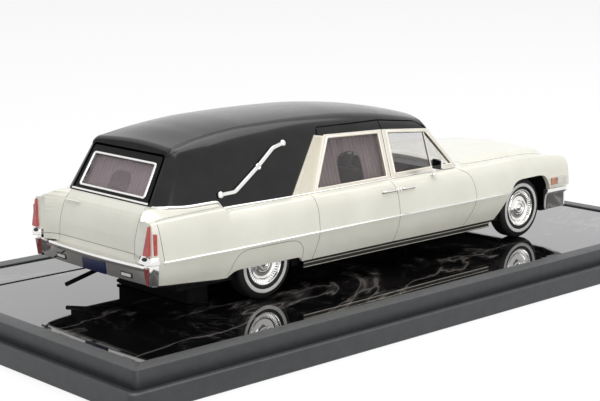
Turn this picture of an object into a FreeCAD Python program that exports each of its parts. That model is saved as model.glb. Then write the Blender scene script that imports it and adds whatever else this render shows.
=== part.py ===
import FreeCAD, Part
import math
import os
import Sketcher

# Scale model of a landau hearse, 1:43, screwed to its display plinth.
# The frame is the plinth's: origin at its bottom centre, +X towards the car's nose, +Y to the
# car's left, +Z up. Car pieces are drawn from the rear axle's centre line at the level of the
# plinth's sheet, and their placements carry them to that spot. Millimetres throughout.

DOC = FreeCAD.newDocument("landau_hearse_model")
SHEET = DOC.addObject("Spreadsheet::Sheet", "dims")
Vec = FreeCAD.Vector

SIZES = (
    # plinth
    ("plinth_length", 202.0),
    ("plinth_width", 102.4),
    ("plinth_height", 8.0),
    ("corner_radius", 1.6),
    ("flange_width", 3.3),
    ("flange_height", 4.6),
    ("flange_lip", 1.1),
    ("channel_depth", 1.6),
    ("plinth_wall", 1.8),
    ("deck_thickness", 2.0),
    ("rim_width", 4.2),
    ("sheet_thickness", 1.2),
    ("sheet_recess", 0.4),
    ("name_strip_width", 14.9),
    ("strip_gap", 1.4),
    ("bed_gap", 0.15),
    # where the car stands
    ("axle_place", -42.7),
    ("car_offset", -3.0),
    # running gear
    ("wheelbase", 92.15),
    ("pillar_gap", 49.15),
    ("axle_height", 8.15),
    ("tyre_radius", 8.05),
    ("tyre_width", 5.0),
    ("tyre_shoulder", 0.9),
    ("bead_radius", 5.0),
    ("whitewall_inner", 5.75),
    ("whitewall_outer", 6.63),
    ("whitewall_depth", 0.28),
    ("disc_gap", 0.01),
    ("disc_rim", 0.7),
    ("disc_web", 0.8),
    ("hub_radius", 1.7),
    ("rear_face", 21.3),
    ("front_face", 20.7),
    ("rod_radius", 0.75),
    ("rod_seat", 3.2),
    ("press_gap", 0.01),
    ("running_gap", 0.07),
    # chassis and fixings
    ("chassis_thickness", 1.4),
    ("chassis_level", 6.0),
    ("chassis_half_width", 20.2),
    ("tank_rear", -16.0),
    ("tank_front", -10.5),
    ("tank_right", 13.0),
    ("tank_left", 11.5),
    ("tank_foot", 0.8),
    ("chassis_rear", -25.0),
    ("chassis_nose", 11.85),
    ("wheel_room", 1.0),
    ("bearing_place", 11.5),
    ("bearing_width", 3.0),
    ("bearing_wall", 0.6),
    ("screw_radius", 1.25),
    ("screw_gap", 0.05),
    ("screw_head_radius", 2.5),
    ("screw_head_height", 1.4),
    ("rear_screw", 18.0),
    ("front_screw_gap", 26.15),
    ("post_radius", 2.6),
    # shells and cabin
    ("body_wall", 1.2),
    ("roof_wall", 0.9),
    ("glass_thickness", 0.5),
    ("floor_level", 9.7),
    ("floor_thickness", 0.8),
    ("floor_half_width", 14.4),
    ("floor_rear", -28.0),
    ("floor_nose_gap", 21.15),
    ("deck_rear", -26.0),
    ("deck_gap", 2.5),
    ("deck_width", 27.0),
    ("deck_height", 4.0),
    ("bench_width", 28.0),
    ("bench_depth", 12.0),
    ("bench_height", 4.6),
    ("bench_back_depth", 3.0),
    ("bench_back_height", 9.5),
    ("dashboard_depth", 6.0),
    ("dashboard_width", 34.0),
    ("dashboard_height", 4.5),
    ("dashboard_level", 17.6),
    ("steering_radius", 4.2),
    ("steering_reach", 6.3),
    # glasshouse side plane
    ("belt_half_width", 19.8),
    ("belt_level", 22.3),
    ("side_lean", 0.31),
    # rear door, wheel arches and nose
    ("door_half_width", 14.2),
    ("arch_gap", 0.4),
    ("grille_place", 14.85),
    ("grille_half_width", 20.3),
    ("grille_low", 12.4),
    ("grille_high", 18.4),
    ("lamp_radius", 1.9),
    ("lamp_gap", 0.35),
    # trim
    ("frame_width", 0.75),
    ("rear_frame_width", 0.6),
    ("trim_proud", 0.3),
    ("seat_gap", 0.01),
    ("pipe_radius", 0.5),
)


def fill_sheet():
    """Write each driving size into the sheet under its alias."""
    for row, (alias, value) in enumerate(SIZES, start=1):
        SHEET.set(f"A{row}", alias)
        SHEET.set(f"B{row}", str(value))
        SHEET.setAlias(f"B{row}", alias)
    DOC.recompute()


fill_sheet()


def size(expression):
    """Value of an expression in the sheet's aliases."""
    return float(SHEET.evalExpression(expression))


def bind(item, **expressions):
    """Tie an object's properties to the sheet; a double underscore stands for a dot."""
    for name, expression in expressions.items():
        item.setExpression(name.replace("__", "."), expression)
    return item


def on_car(item):
    """Carry an object drawn in the car's own frame to its place on the plinth."""
    return bind(
        item,
        Placement__Base__x="dims.axle_place",
        Placement__Base__y="dims.car_offset",
        Placement__Base__z="dims.plinth_height - dims.sheet_recess",
    )


NODES = []


def node(item, label=None):
    """Name a finished sub-part, which is exported under that name."""
    item.Label = label or item.Name
    NODES.append(item)
    return item


def feature(name, shape):
    """A sub-part whose shape is worked out below, in the car's frame."""
    item = DOC.addObject("Part::Feature", name)
    item.Shape = shape if shape.Placement.isIdentity() else Part.makeCompound([shape])
    return node(on_car(item))


def box(name, x_span, y_span, z_span):
    """Part::Box between pairs of expressions."""
    item = DOC.addObject("Part::Box", name)
    return bind(
        item,
        Length=f"({x_span[1]}) - ({x_span[0]})",
        Width=f"({y_span[1]}) - ({y_span[0]})",
        Height=f"({z_span[1]}) - ({z_span[0]})",
        Placement__Base__x=x_span[0],
        Placement__Base__y=y_span[0],
        Placement__Base__z=z_span[0],
    )


def rod(name, radius, length, place, direction=Vec(0, 0, 1)):
    """Part::Cylinder that starts at a place and runs along a direction."""
    item = DOC.addObject("Part::Cylinder", name)
    item.Placement.Rotation = FreeCAD.Rotation(Vec(0, 0, 1), direction)
    return bind(
        item,
        Radius=radius,
        Height=length,
        Placement__Base__x=place[0],
        Placement__Base__y=place[1],
        Placement__Base__z=place[2],
    )


def joined(name, items):
    """Part::MultiFuse of several objects."""
    item = DOC.addObject("Part::MultiFuse", name)
    item.Shapes = items
    return item


def less(name, base, tool):
    """Part::Cut of one object by another."""
    item = DOC.addObject("Part::Cut", name)
    item.Base = base
    item.Tool = tool
    return item


def group(name, items):
    """Part::Compound of solids that do not touch."""
    item = DOC.addObject("Part::Compound", name)
    item.Links = items
    return item


# ---------------------------------------------------------------- plinth

HALF_LENGTH = "dims.plinth_length / 2"
HALF_WIDTH = "dims.plinth_width / 2"
BLOCK_X = f"({HALF_LENGTH} - dims.flange_width)"
BLOCK_Y = f"({HALF_WIDTH} - dims.flange_width)"
RECESS_X = f"({BLOCK_X} - dims.rim_width)"
RECESS_Y = f"({BLOCK_Y} - dims.rim_width)"
SHEET_TOP = "(dims.plinth_height - dims.sheet_recess)"
DECK_TOP = f"({SHEET_TOP} - dims.sheet_thickness)"
DECK_UNDER = f"({DECK_TOP} - dims.deck_thickness)"


def centred(name, half_x, half_y, low, high):
    """Box centred on the plinth's axis."""
    return box(name, (f"-{half_x}", half_x), (f"-{half_y}", half_y), (low, high))


UPRIGHT_EDGES = (1, 3, 5, 7)


def rounded(block):
    """Part::Fillet of a box's upright edges."""
    item = DOC.addObject("Part::Fillet", f"{block.Name}_rounded")
    item.Base = block
    radius = size("dims.corner_radius")
    item.Edges = [(edge, radius, radius) for edge in UPRIGHT_EDGES]
    return item


def plinth_tray():
    """Moulded tray: block with a recess for the sheet, and a flange with a cover channel."""
    block = rounded(centred("tray_block", BLOCK_X, BLOCK_Y, "0", "dims.plinth_height"))
    flange_x = f"({HALF_LENGTH})"
    flange_y = f"({HALF_WIDTH})"
    flange = rounded(centred("tray_flange", flange_x, flange_y, "0", "dims.flange_height"))
    lip_x = f"({HALF_LENGTH} - dims.flange_lip)"
    lip_y = f"({HALF_WIDTH} - dims.flange_lip)"
    channel_floor = "dims.flange_height - dims.channel_depth"
    channel = centred("cover_channel", lip_x, lip_y, channel_floor, "dims.flange_height + 1")
    outside = less("flange_with_channel", flange, channel)
    solid = joined("tray_solid", [outside, block])
    recess = centred("sheet_recess", RECESS_X, RECESS_Y, DECK_TOP, "dims.plinth_height + 1")
    hollow_x = f"({BLOCK_X} - dims.plinth_wall)"
    hollow_y = f"({BLOCK_Y} - dims.plinth_wall)"
    hollow = centred("tray_hollow", hollow_x, hollow_y, "-1", DECK_UNDER)
    holes = [recess, hollow]
    for end, place in SCREWS:
        holes.append(screw_hole(f"tray_hole_{end}", place))
    return node(less("plinth_tray", solid, joined("tray_cuts", holes)))


SCREWS = (("rear", "dims.rear_screw"), ("front", "(dims.wheelbase - dims.front_screw_gap)"))


def screw_hole(name, place):
    """Clearance hole through the plinth for one fixing screw."""
    return rod(
        name,
        "dims.screw_radius + dims.screw_gap",
        "dims.plinth_height + 4",
        (f"dims.axle_place + {place}", "dims.car_offset", "-2"),
    )


def plinth_sheet():
    """Polished sheet that the car stands on, let into the recess."""
    strip_edge = f"({RECESS_Y} - dims.name_strip_width)"
    sheet = box(
        "sheet_blank",
        (f"-{RECESS_X} + dims.bed_gap", f"{RECESS_X} - dims.bed_gap"),
        (f"-{RECESS_Y} + dims.bed_gap", f"{strip_edge} - dims.strip_gap / 2"),
        (DECK_TOP, SHEET_TOP),
    )
    holes = [screw_hole(f"sheet_hole_{end}", place) for end, place in SCREWS]
    node(less("plinth_sheet", sheet, joined("sheet_cuts", holes)))
    strip = box(
        "name_strip",
        (f"-{RECESS_X} + dims.bed_gap", f"{RECESS_X} - dims.bed_gap"),
        (f"{strip_edge} + dims.strip_gap / 2", f"{RECESS_Y} - dims.bed_gap"),
        (DECK_TOP, SHEET_TOP),
    )
    node(strip)


def fixings():
    """Spacer posts under the chassis and the screws that pull it down on them."""
    posts = []
    for end, place in SCREWS:
        outside = rod(f"post_body_{end}", "dims.post_radius", "dims.chassis_level", (place, "0", "0"))
        bore = "dims.screw_radius + dims.screw_gap"
        inside = rod(f"post_bore_{end}", bore, "dims.chassis_level + 2", (place, "0", "-1"))
        posts.append(less(f"post_{end}", outside, inside))
        head_top = f"({DECK_UNDER})"
        head = rod(
            f"screw_head_{end}",
            "dims.screw_head_radius",
            "dims.screw_head_height",
            (f"dims.axle_place + {place}", "dims.car_offset", f"{head_top} - dims.screw_head_height"),
        )
        shank = rod(
            f"screw_shank_{end}",
            "dims.screw_radius",
            f"{SHEET_TOP} + dims.floor_level - 0.5 - {head_top}",
            (f"dims.axle_place + {place}", "dims.car_offset", head_top),
        )
        node(joined(f"fixing_screw_{end}", [head, shank]))
    node(on_car(group("spacer_posts", posts)))


# ---------------------------------------------------------------- wheels


def origin_plane(body, role):
    """One of a body's own origin planes."""
    return next(item for item in body.Origin.OriginFeatures if item.Role == role)


def outline(body, name, role, corners):
    """Closed sketch through corners that are pairs of expressions."""
    drawn = body.newObject("Sketcher::SketchObject", name)
    drawn.AttachmentSupport = [(origin_plane(body, role), "")]
    drawn.MapMode = "FlatFace"
    values = [(size(across), size(up)) for across, up in corners]
    count = len(corners)
    for index in range(count):
        start = Vec(*values[index], 0)
        end = Vec(*values[(index + 1) % count], 0)
        drawn.addGeometry(Part.LineSegment(start, end), False)
    for index in range(count):
        drawn.addConstraint(Sketcher.Constraint("Coincident", index, 2, (index + 1) % count, 1))
    for index, texts in enumerate(corners):
        for kind, text, value in zip(("DistanceX", "DistanceY"), texts, values[index]):
            number = drawn.addConstraint(Sketcher.Constraint(kind, -1, 1, index, 1, value))
            drawn.setExpression(f"Constraints[{number}]", text)
    return drawn


def turned(name, corners):
    """Body turned about its local Y axis from an outline of (radius, station) corners."""
    body = DOC.addObject("PartDesign::Body", name)
    profile = outline(body, f"{name}_profile", "XY_Plane", corners)
    turn = body.newObject("PartDesign::Revolution", f"{name}_turn")
    turn.Profile = profile
    turn.ReferenceAxis = (profile, ["V_Axis"])
    turn.Angle = 360
    return body


TYRE = (
    ("dims.bead_radius", "0.5"),
    ("dims.bead_radius + 1.2", "0"),
    ("dims.tyre_radius - 0.35", "dims.tyre_shoulder / 3"),
    ("dims.tyre_radius", "dims.tyre_shoulder"),
    ("dims.tyre_radius", "dims.tyre_width - dims.tyre_shoulder"),
    ("dims.tyre_radius - 0.35", "dims.tyre_width - dims.tyre_shoulder / 3"),
    ("dims.whitewall_outer + 0.15", "dims.tyre_width"),
    ("dims.whitewall_outer", "dims.tyre_width"),
    ("dims.whitewall_outer", "dims.tyre_width - dims.whitewall_depth"),
    ("dims.whitewall_inner", "dims.tyre_width - dims.whitewall_depth"),
    ("dims.whitewall_inner", "dims.tyre_width - 0.1"),
    ("dims.bead_radius", "dims.tyre_width - 0.5"),
)
WHITEWALL = (
    ("dims.whitewall_inner + dims.disc_gap", "dims.tyre_width - dims.whitewall_depth"),
    ("dims.whitewall_outer - dims.disc_gap", "dims.tyre_width - dims.whitewall_depth"),
    ("dims.whitewall_outer - dims.disc_gap", "dims.tyre_width"),
    ("dims.whitewall_inner + dims.disc_gap", "dims.tyre_width - 0.06"),
)
DISC = (
    ("0", "dims.rod_seat"),
    ("dims.rod_radius + dims.press_gap", "dims.rod_seat"),
    ("dims.rod_radius + dims.press_gap", "1.2"),
    ("dims.hub_radius", "1.2"),
    ("dims.hub_radius", "dims.rod_seat"),
    ("dims.bead_radius - dims.disc_rim", "dims.rod_seat"),
    ("dims.bead_radius - dims.disc_rim", "0.9"),
    ("dims.bead_radius - dims.disc_gap", "0.9"),
    ("dims.bead_radius - dims.disc_gap", "dims.tyre_width - 0.35"),
    ("dims.bead_radius - 0.35", "dims.tyre_width - 0.2"),
    ("dims.bead_radius - 1.2", "dims.rod_seat + dims.disc_web + 0.25"),
    ("dims.hub_radius + 0.7", "dims.rod_seat + dims.disc_web"),
    ("dims.hub_radius - 0.3", "dims.rod_seat + dims.disc_web + 0.35"),
    ("0.5", "dims.rod_seat + dims.disc_web + 0.75"),
    ("0", "dims.rod_seat + dims.disc_web + 0.85"),
)
AXLES = (("rear", "0", "dims.rear_face"), ("front", "dims.wheelbase", "dims.front_face"))
SIDES = (("left", 1), ("right", -1))


def wheel_pieces():
    """Two wheel pairs, each with its tyres, whitewall rings and discs on one steel rod."""
    for end, station, face in AXLES:
        for side, sign in SIDES:
            inner = f"({face} - dims.tyre_width)"
            for piece, corners in (("tyre", TYRE), ("whitewall", WHITEWALL), ("wheel_disc", DISC)):
                body = turned(f"{piece}_{end}_{side}", corners)
                if sign < 0:
                    body.Placement.Rotation = FreeCAD.Rotation(Vec(1, 0, 0), 180)
                bind(
                    body,
                    Placement__Base__x=f"dims.axle_place + {station}",
                    Placement__Base__y=f"dims.car_offset + {sign} * {inner}",
                    Placement__Base__z=f"{SHEET_TOP} + dims.axle_height",
                )
                node(body)
        reach = f"({face} - dims.tyre_width + dims.rod_seat - 0.05)"
        node(
            rod(
                f"axle_rod_{end}",
                "dims.rod_radius",
                f"2 * {reach}",
                (
                    f"dims.axle_place + {station}",
                    f"dims.car_offset - {reach}",
                    f"{SHEET_TOP} + dims.axle_height",
                ),
                Vec(0, 1, 0),
            )
        )


def chassis_plate():
    """Floor pan with wheel notches, a low tank, bearing blocks for the rods and screw bosses."""
    low = "dims.chassis_level"
    high = "dims.chassis_level + dims.chassis_thickness"
    plate = box(
        "pan_plate",
        ("dims.chassis_rear", "dims.wheelbase + dims.chassis_nose"),
        ("-dims.chassis_half_width", "dims.chassis_half_width"),
        (low, high),
    )
    tank = box(
        "low_tank",
        ("dims.tank_rear", "dims.tank_front"),
        ("-dims.tank_right", "dims.tank_left"),
        ("dims.tank_foot", high),
    )
    raised = [plate, tank]
    cuts = []
    half_room = "(dims.tyre_radius + dims.wheel_room)"
    for end, station, face in AXLES:
        notch_in = f"({face} - dims.tyre_width - dims.wheel_room)"
        for side, sign in SIDES:
            ends = (notch_in, "30") if sign > 0 else ("-30", f"-{notch_in}")
            cuts.append(
                box(
                    f"wheel_notch_{end}_{side}",
                    (f"{station} - {half_room}", f"{station} + {half_room}"),
                    ends,
                    ("0", "20"),
                )
            )
            middle = f"{sign} * dims.bearing_place"
            half_block = "(dims.rod_radius + dims.running_gap + dims.bearing_wall)"
            raised.append(
                box(
                    f"bearing_block_{end}_{side}",
                    (f"{station} - {half_block}", f"{station} + {half_block}"),
                    (f"{middle} - dims.bearing_width / 2", f"{middle} + dims.bearing_width / 2"),
                    (low, f"dims.axle_height + {half_block}"),
                )
            )
        cuts.append(
            rod(
                f"bearing_bore_{end}",
                "dims.rod_radius + dims.running_gap",
                "60",
                (station, "-30", "dims.axle_height"),
                Vec(0, 1, 0),
            )
        )
        relief = "(dims.rod_radius + 0.5)"
        span = "(dims.bearing_place - dims.bearing_width / 2)"
        cuts.append(
            box(
                f"rod_relief_{end}",
                (f"{station} - {relief}", f"{station} + {relief}"),
                (f"-{span}", span),
                (f"dims.axle_height - {relief}", "20"),
            )
        )
    for end, place in SCREWS:
        boss_height = "dims.floor_level - dims.chassis_level"
        raised.append(rod(f"boss_{end}", "dims.post_radius + 0.6", boss_height, (place, "0", low)))
        bore = "dims.screw_radius + dims.screw_gap"
        cuts.append(rod(f"boss_bore_{end}", bore, "dims.floor_level + 4", (place, "0", "-1")))
    pan = less("chassis_plate", joined("pan_raised", raised), joined("pan_cuts", cuts))
    return node(on_car(pan))


# ---------------------------------------------------------------- shells

# Stations run from the rear axle. Those ahead of the pillar between the doors keep their distance
# from that pillar or from the front axle.
FRONT = size("dims.wheelbase")
PILLAR = size("dims.wheelbase - dims.pillar_gap")
GAP = size("dims.seat_gap")

# Half sections of the lower body: each column pair is a corner's half width and level.
BODY_COLUMNS = ("x", "sill", "low", "wide", "shoulder", "crest", "gutter", "deck", "centre")
BODY_ROWS = (
    (-33.3, (20.9, 8.8), (21.6, 10.4), (22.4, 13.9), (22.3, 19.6), (21.6, 22.2), (20.2, 22.2),
     (15.0, 24.3), 24.3),
    (-28.0, (21.9, 8.4), (22.7, 10.2), (23.3, 13.9), (22.9, 20.2), (22.3, 22.6), (20.7, 22.9),
     (14.2, 25.1), 25.1),
    (-25.0, (22.0, 8.2), (22.8, 10.1), (23.4, 13.9), (22.9, 20.3), (22.3, 22.7), (20.6, 23.0),
     (16.6, 24.8), 24.8),
    (-20.0, (22.1, 7.8), (22.9, 10.0), (23.5, 13.9), (23.0, 20.5), (22.4, 22.9), (20.6, 23.2),
     (18.0, 24.3), 24.3),
    (-12.6, (22.2, 7.3), (22.9, 9.8), (23.5, 13.8), (23.0, 20.4), (22.2, 22.9), (20.6, 23.2),
     (18.8, 24.0), 24.0),
    (-10.2, (22.2, 7.3), (22.9, 9.8), (23.5, 13.8), (23.0, 20.1), (21.9, 21.9), (21.0, 22.1),
     (19.8, 22.28), 22.28),
    (12.0, (22.2, 7.3), (22.9, 9.8), (23.5, 13.8), (22.9, 19.8), (21.8, 21.8), (20.9, 22.1),
     (19.8, 22.28), 22.28),
    (PILLAR - 3.0, (22.0, 7.2), (22.8, 9.7), (23.5, 13.8), (22.9, 19.8), (21.7, 21.8), (20.9, 22.1),
     (19.8, 22.28), 22.28),
    (PILLAR + 23.0, (21.8, 7.0), (22.7, 9.6), (23.4, 13.7), (22.8, 19.7), (21.6, 21.9), (20.7, 22.1),
     (19.6, 22.2), 22.8),
    (FRONT - 18.15, (21.8, 7.0), (22.7, 9.6), (23.4, 13.7), (22.7, 19.6), (21.5, 22.0), (16.0, 21.3),
     (14.6, 22.6), 23.6),
    (FRONT - 0.15, (21.8, 7.0), (22.6, 9.6), (23.2, 13.6), (22.5, 19.2), (21.2, 22.0), (15.4, 21.3),
     (13.9, 22.5), 23.5),
    (FRONT + 10.85, (21.6, 7.0), (22.4, 9.6), (22.9, 13.4), (22.3, 18.6), (20.9, 21.2), (15.1, 20.8),
     (13.5, 22.2), 23.1),
    (FRONT + 14.85, (21.5, 7.0), (22.2, 9.6), (22.6, 13.3), (22.1, 18.4), (20.8, 20.7), (15.0, 20.1),
     (13.2, 21.5), 22.3),
    (FRONT + 16.35, (21.5, 7.0), (22.1, 9.6), (22.5, 13.2), (22.0, 18.3), (20.7, 20.5), (15.0, 19.8),
     (13.1, 20.7), 21.4),
    (FRONT + 18.35, (21.4, 7.0), (22.0, 9.6), (22.4, 13.2), (21.9, 18.2), (20.6, 20.2), (15.0, 18.7),
     (13.0, 18.8), 19.2),
)
CORNERS = BODY_COLUMNS[1:-1]
BODY = [dict(zip(BODY_COLUMNS, row)) for row in BODY_ROWS]

# Half sections of the roof. Where base is left out, base and eave lie on the glasshouse side.
ROOF_COLUMNS = ("x", "base", "eave", "rim", "crown", "centre")
ROOF_ROWS = (
    (-28.0, (14.2, 25.12), (12.3, 33.9), (11.4, 34.8), (7.0, 35.3), 35.4),
    (-26.9, (15.6, 25.0), (13.2, 34.1), (12.2, 35.1), (7.0, 35.6), 35.75),
    (-25.0, (16.6, 24.82), (14.0, 34.4), (12.9, 35.5), (7.1, 35.95), 36.1),
    (-20.0, (18.0, 24.32), (14.8, 35.0), (13.4, 36.3), (7.3, 36.9), 37.1),
    (-12.6, (18.8, 24.02), (15.2, 35.5), (13.3, 37.5), (7.6, 38.4), 38.8),
    (-10.2, None, 35.6, (13.3, 37.8), (7.6, 38.8), 39.2),
    (2.0, None, 36.1, (13.3, 38.7), (7.8, 39.8), 40.2),
    (16.0, None, 36.3, (13.4, 38.9), (7.8, 40.0), 40.4),
    (29.0, None, 36.0, (13.4, 38.6), (7.8, 39.8), 40.2),
    (PILLAR - 1.0, None, 35.0, (13.6, 37.5), (8.0, 38.8), 39.2),
    (PILLAR + 11.0, None, 33.7, (14.0, 35.7), (8.2, 37.0), 37.4),
    (PILLAR + 19.0, None, 32.4, (14.3, 34.0), (8.4, 35.2), 35.5),
    (PILLAR + 33.0, None, 29.8, (14.8, 30.7), (8.6, 31.3), 31.5),
)


def side_plane(level):
    """Half width of the glasshouse side at a level."""
    return size("dims.belt_half_width") - size("dims.side_lean") * (level - size("dims.belt_level"))


def roof_row(row):
    """Fill in the corners that lie on the glasshouse side plane."""
    record = dict(zip(ROOF_COLUMNS, row))
    if record["base"] is None:
        record["base"] = (size("dims.belt_half_width"), size("dims.belt_level"))
        record["eave"] = (side_plane(record["eave"]), record["eave"])
    return record


ROOF = [roof_row(row) for row in ROOF_ROWS]


def blend(table, x):
    """Section of a table at any station, straight between its rows."""
    before = max((row for row in table if row["x"] <= x), key=lambda row: row["x"], default=table[0])
    after = min((row for row in table if row["x"] >= x), key=lambda row: row["x"], default=table[-1])
    span = after["x"] - before["x"]
    share = (x - before["x"]) / span if span else 0.0
    mixed = {"x": x}
    for key, value in before.items():
        if key == "x":
            continue
        if isinstance(value, tuple):
            mixed[key] = tuple(a + (b - a) * share for a, b in zip(value, after[key]))
        else:
            mixed[key] = value + (after[key] - value) * share
    return mixed


def ring(x, half):
    """Closed wire across the car through a half section's corners, from bottom to top centre."""
    right = [Vec(x, -y, z) for y, z in reversed(half) if y]
    left = [Vec(x, y, z) for y, z in half]
    return Part.makePolygon(left + right + [left[0]])


def skin(rings):
    """Solid with straight sides through a run of closed wires."""
    return Part.makeLoft(rings, True, True)


def body_half(row, inset=0.0, bottom=None):
    """Corners of a lower body half section, moved inwards by a wall."""
    floor = row["sill"][1] if bottom is None else bottom
    corners = [(0.0, floor), (row["sill"][0] - inset, floor)]
    for name in CORNERS[1:]:
        y, z = row[name]
        drop = inset if name in ("crest", "gutter", "deck") else 0.0
        corners.append((y - inset, z - drop))
    corners.append((0.0, row["centre"] - inset))
    return corners


def roof_half(row, inset=0.0, bottom=0.0):
    """Corners of a roof half section, moved inwards by a wall."""
    corners = [(0.0, row["base"][1] - bottom)]
    corners.append((row["base"][0] - inset, row["base"][1] - bottom))
    corners.append((row["eave"][0] - inset, row["eave"][1]))
    corners.append((row["rim"][0] - inset, row["rim"][1] - inset))
    corners.append((row["crown"][0], row["crown"][1] - inset))
    corners.append((0.0, row["centre"] - inset))
    return corners


def prism(points, axis, low, high):
    """Straight-sided solid on an outline: (x, z) points along Y, or (x, y) points along Z."""
    if axis == "y":
        corners = [Vec(x, low, z) for x, z in points]
        run = Vec(0, high - low, 0)
    else:
        corners = [Vec(x, y, low) for x, y in points]
        run = Vec(0, 0, high - low)
    return Part.Face(Part.makePolygon(corners + [corners[0]])).extrude(run)


def mirrored(shape):
    """A left-hand shape's image on the car's right."""
    return shape.mirror(Vec(0, 0, 0), Vec(0, 1, 0))


def pair(shape):
    """A left-hand shape and its mirror image, as solids that do not touch."""
    return Part.makeCompound([shape, mirrored(shape)])


FAR = 30.0

# Profile of the rear door: station and level, from the bumper's shelf up to the roof.
DOOR_PROFILE = ((-31.5, 13.1), (-31.35, 16.8), (-30.7, 19.8), (-29.5, 22.6), (-27.2, 25.2), (-21.0, 35.9))
DOOR_FLARE = {"x": -34.0, "half_width": 19.8}
SKY = 45.0


def door_station(level):
    """Station of the rear door's face at a level."""
    points = DOOR_PROFILE
    for (x0, z0), (x1, z1) in zip(points, points[1:]):
        if level <= z1:
            break
    return x0 + (x1 - x0) * (level - z0) / (z1 - z0)


def behind_door(shift=0.0):
    """Space behind the rear door, flaring out to the fins' inner faces."""
    half = size("dims.door_half_width") - shift
    flared = DOOR_FLARE["half_width"] - shift
    foot_x, foot_level = DOOR_PROFILE[0]
    wires = []
    for level in (foot_level - 8, *(z for x, z in DOOR_PROFILE), SKY):
        face = (foot_x if level < foot_level else door_station(level)) + shift
        points = ((-60, -flared), (DOOR_FLARE["x"] + shift, -flared), (face, -half))
        corners = [Vec(x, y, level) for x, y in points]
        corners += [Vec(x, -y, level) for x, y in reversed(points)]
        wires.append(Part.makePolygon(corners + [corners[0]]))
    return skin(wires)


ARCH_TOP = size("dims.axle_height + dims.tyre_radius + dims.arch_gap")
FRONT_ARCH = (
    (FRONT - 14.55, 4.0), (FRONT - 13.75, 5.6), (FRONT - 7.15, 14.0), (FRONT - 5.85, ARCH_TOP - 0.9),
    (FRONT - 3.65, ARCH_TOP), (FRONT + 6.15, ARCH_TOP), (FRONT + 8.05, ARCH_TOP - 0.9),
    (FRONT + 9.55, 12.4), (FRONT + 11.25, 4.0),
)
REAR_ARCH = ((-13.2, 4.0), (-12.6, 7.0), (-11.4, 8.0), (-9.6, 8.7), (9.4, 8.5), (10.4, 7.6), (10.6, 4.0))
BUMPER_SEAT = {"x": -31.5, "level": 13.0, "corner_half": 19.1, "corner_level": 15.05}
FIN_END = ((-33.2, 14.9), (-32.6, 22.6), (-40.0, 22.6), (-40.0, 14.9))
NOSE_CUT = FRONT + 9.45
RIM = 1.6


def lower_body():
    """Painted shell: sides with fins, hood, rear door panel and open wheel arches."""
    wall = size("dims.body_wall")
    outer = skin([ring(row["x"], body_half(row)) for row in BODY])
    ends = (BODY[0]["x"] + wall, BODY[-1]["x"] - wall)
    stations = [ends[0]] + [row["x"] for row in BODY if ends[0] < row["x"] < ends[1]] + [ends[1]]
    inner = skin([ring(x, body_half(blend(BODY, x), wall, -1.0)) for x in stations])
    shell = outer.cut(behind_door()).cut(inner.cut(behind_door(wall)))
    deck_end = PILLAR + 25.0
    stations = [-26.0, -25.0] + [row["x"] for row in BODY if -25.0 < row["x"] < deck_end] + [deck_end]
    edge = [(x, blend(ROOF, x)["base"][0] - RIM) for x in stations]
    plan = edge + [(x, -y) for x, y in reversed(edge)]
    shell = shell.cut(prism(plan, "z", 20.0, FAR))
    for arch in (FRONT_ARCH, REAR_ARCH):
        shell = shell.cut(prism(arch, "y", -FAR, FAR))
    room = size("dims.tyre_radius + dims.wheel_room")
    well = size("dims.rear_face") + 0.45
    shell = shell.cut(Part.makeBox(2 * room, 2 * well, 20, Vec(-room, -well, -2)))
    half = size("dims.grille_half_width")
    low = size("dims.grille_low")
    mouth_place = Vec(FRONT + size("dims.grille_place"), -half, low)
    mouth = Part.makeBox(10, 2 * half, size("dims.grille_high") - low, mouth_place)
    nose_low = Part.makeBox(20, 2 * FAR, FAR, Vec(NOSE_CUT, -FAR, low - FAR))
    shell = shell.cut(mouth).cut(nose_low)
    seat = BUMPER_SEAT
    shell = shell.cut(Part.makeBox(10, 2 * FAR, FAR, Vec(seat["x"] - 10, -FAR, seat["level"] - FAR)))
    corner = Part.makeBox(10, FAR, FAR, Vec(seat["x"] - 10, seat["corner_half"], seat["corner_level"] - FAR))
    shell = shell.cut(corner).cut(mirrored(corner)).cut(prism(FIN_END, "y", -FAR, FAR))
    return feature("lower_body", shell.removeSplitter())


# Windscreen: stations at the middle and the pillars and the half width, at two levels.
SCREEN = {"low": 22.0, "base_x": PILLAR + 29.4, "base_side": PILLAR + 23.6, "base_y": 19.0,
          "high": 35.0, "top_x": PILLAR + 18.7, "top_side": PILLAR + 14.6, "top_y": 15.4}
SCREEN_REACH = 0.88


def screen_arc(level, shift=0.0, reach=1.0):
    """Arc of the windscreen's outer face at a level: ends and middle."""
    share = (level - SCREEN["low"]) / (SCREEN["high"] - SCREEN["low"])
    middle = SCREEN["base_x"] + (SCREEN["top_x"] - SCREEN["base_x"]) * share + shift
    side = SCREEN["base_side"] + (SCREEN["top_side"] - SCREEN["base_side"]) * share + shift
    half = (SCREEN["base_y"] + (SCREEN["top_y"] - SCREEN["base_y"]) * share) * reach
    back = (middle - side) * reach * reach
    return Vec(middle - back, -half, level), Vec(middle, 0, level), Vec(middle - back, half, level)


def ahead_of_screen():
    """Space in front of the windscreen's outer face."""
    wires = []
    far_station = PILLAR + 52.0
    for level in (15.0, SKY):
        start, middle, end = screen_arc(level, reach=1.4)
        arc = Part.Arc(start, middle, end).toShape()
        far = [end, Vec(far_station, end.y, level), Vec(far_station, start.y, level), start]
        wires.append(Part.Wire([arc] + [Part.makeLine(a, b) for a, b in zip(far, far[1:])]))
    return skin(wires)


def roof_cavity(inset, low):
    """Inside of the roof, open at the front and the belt."""
    return skin([ring(row["x"], roof_half(row, inset, low)) for row in ROOF])


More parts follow.
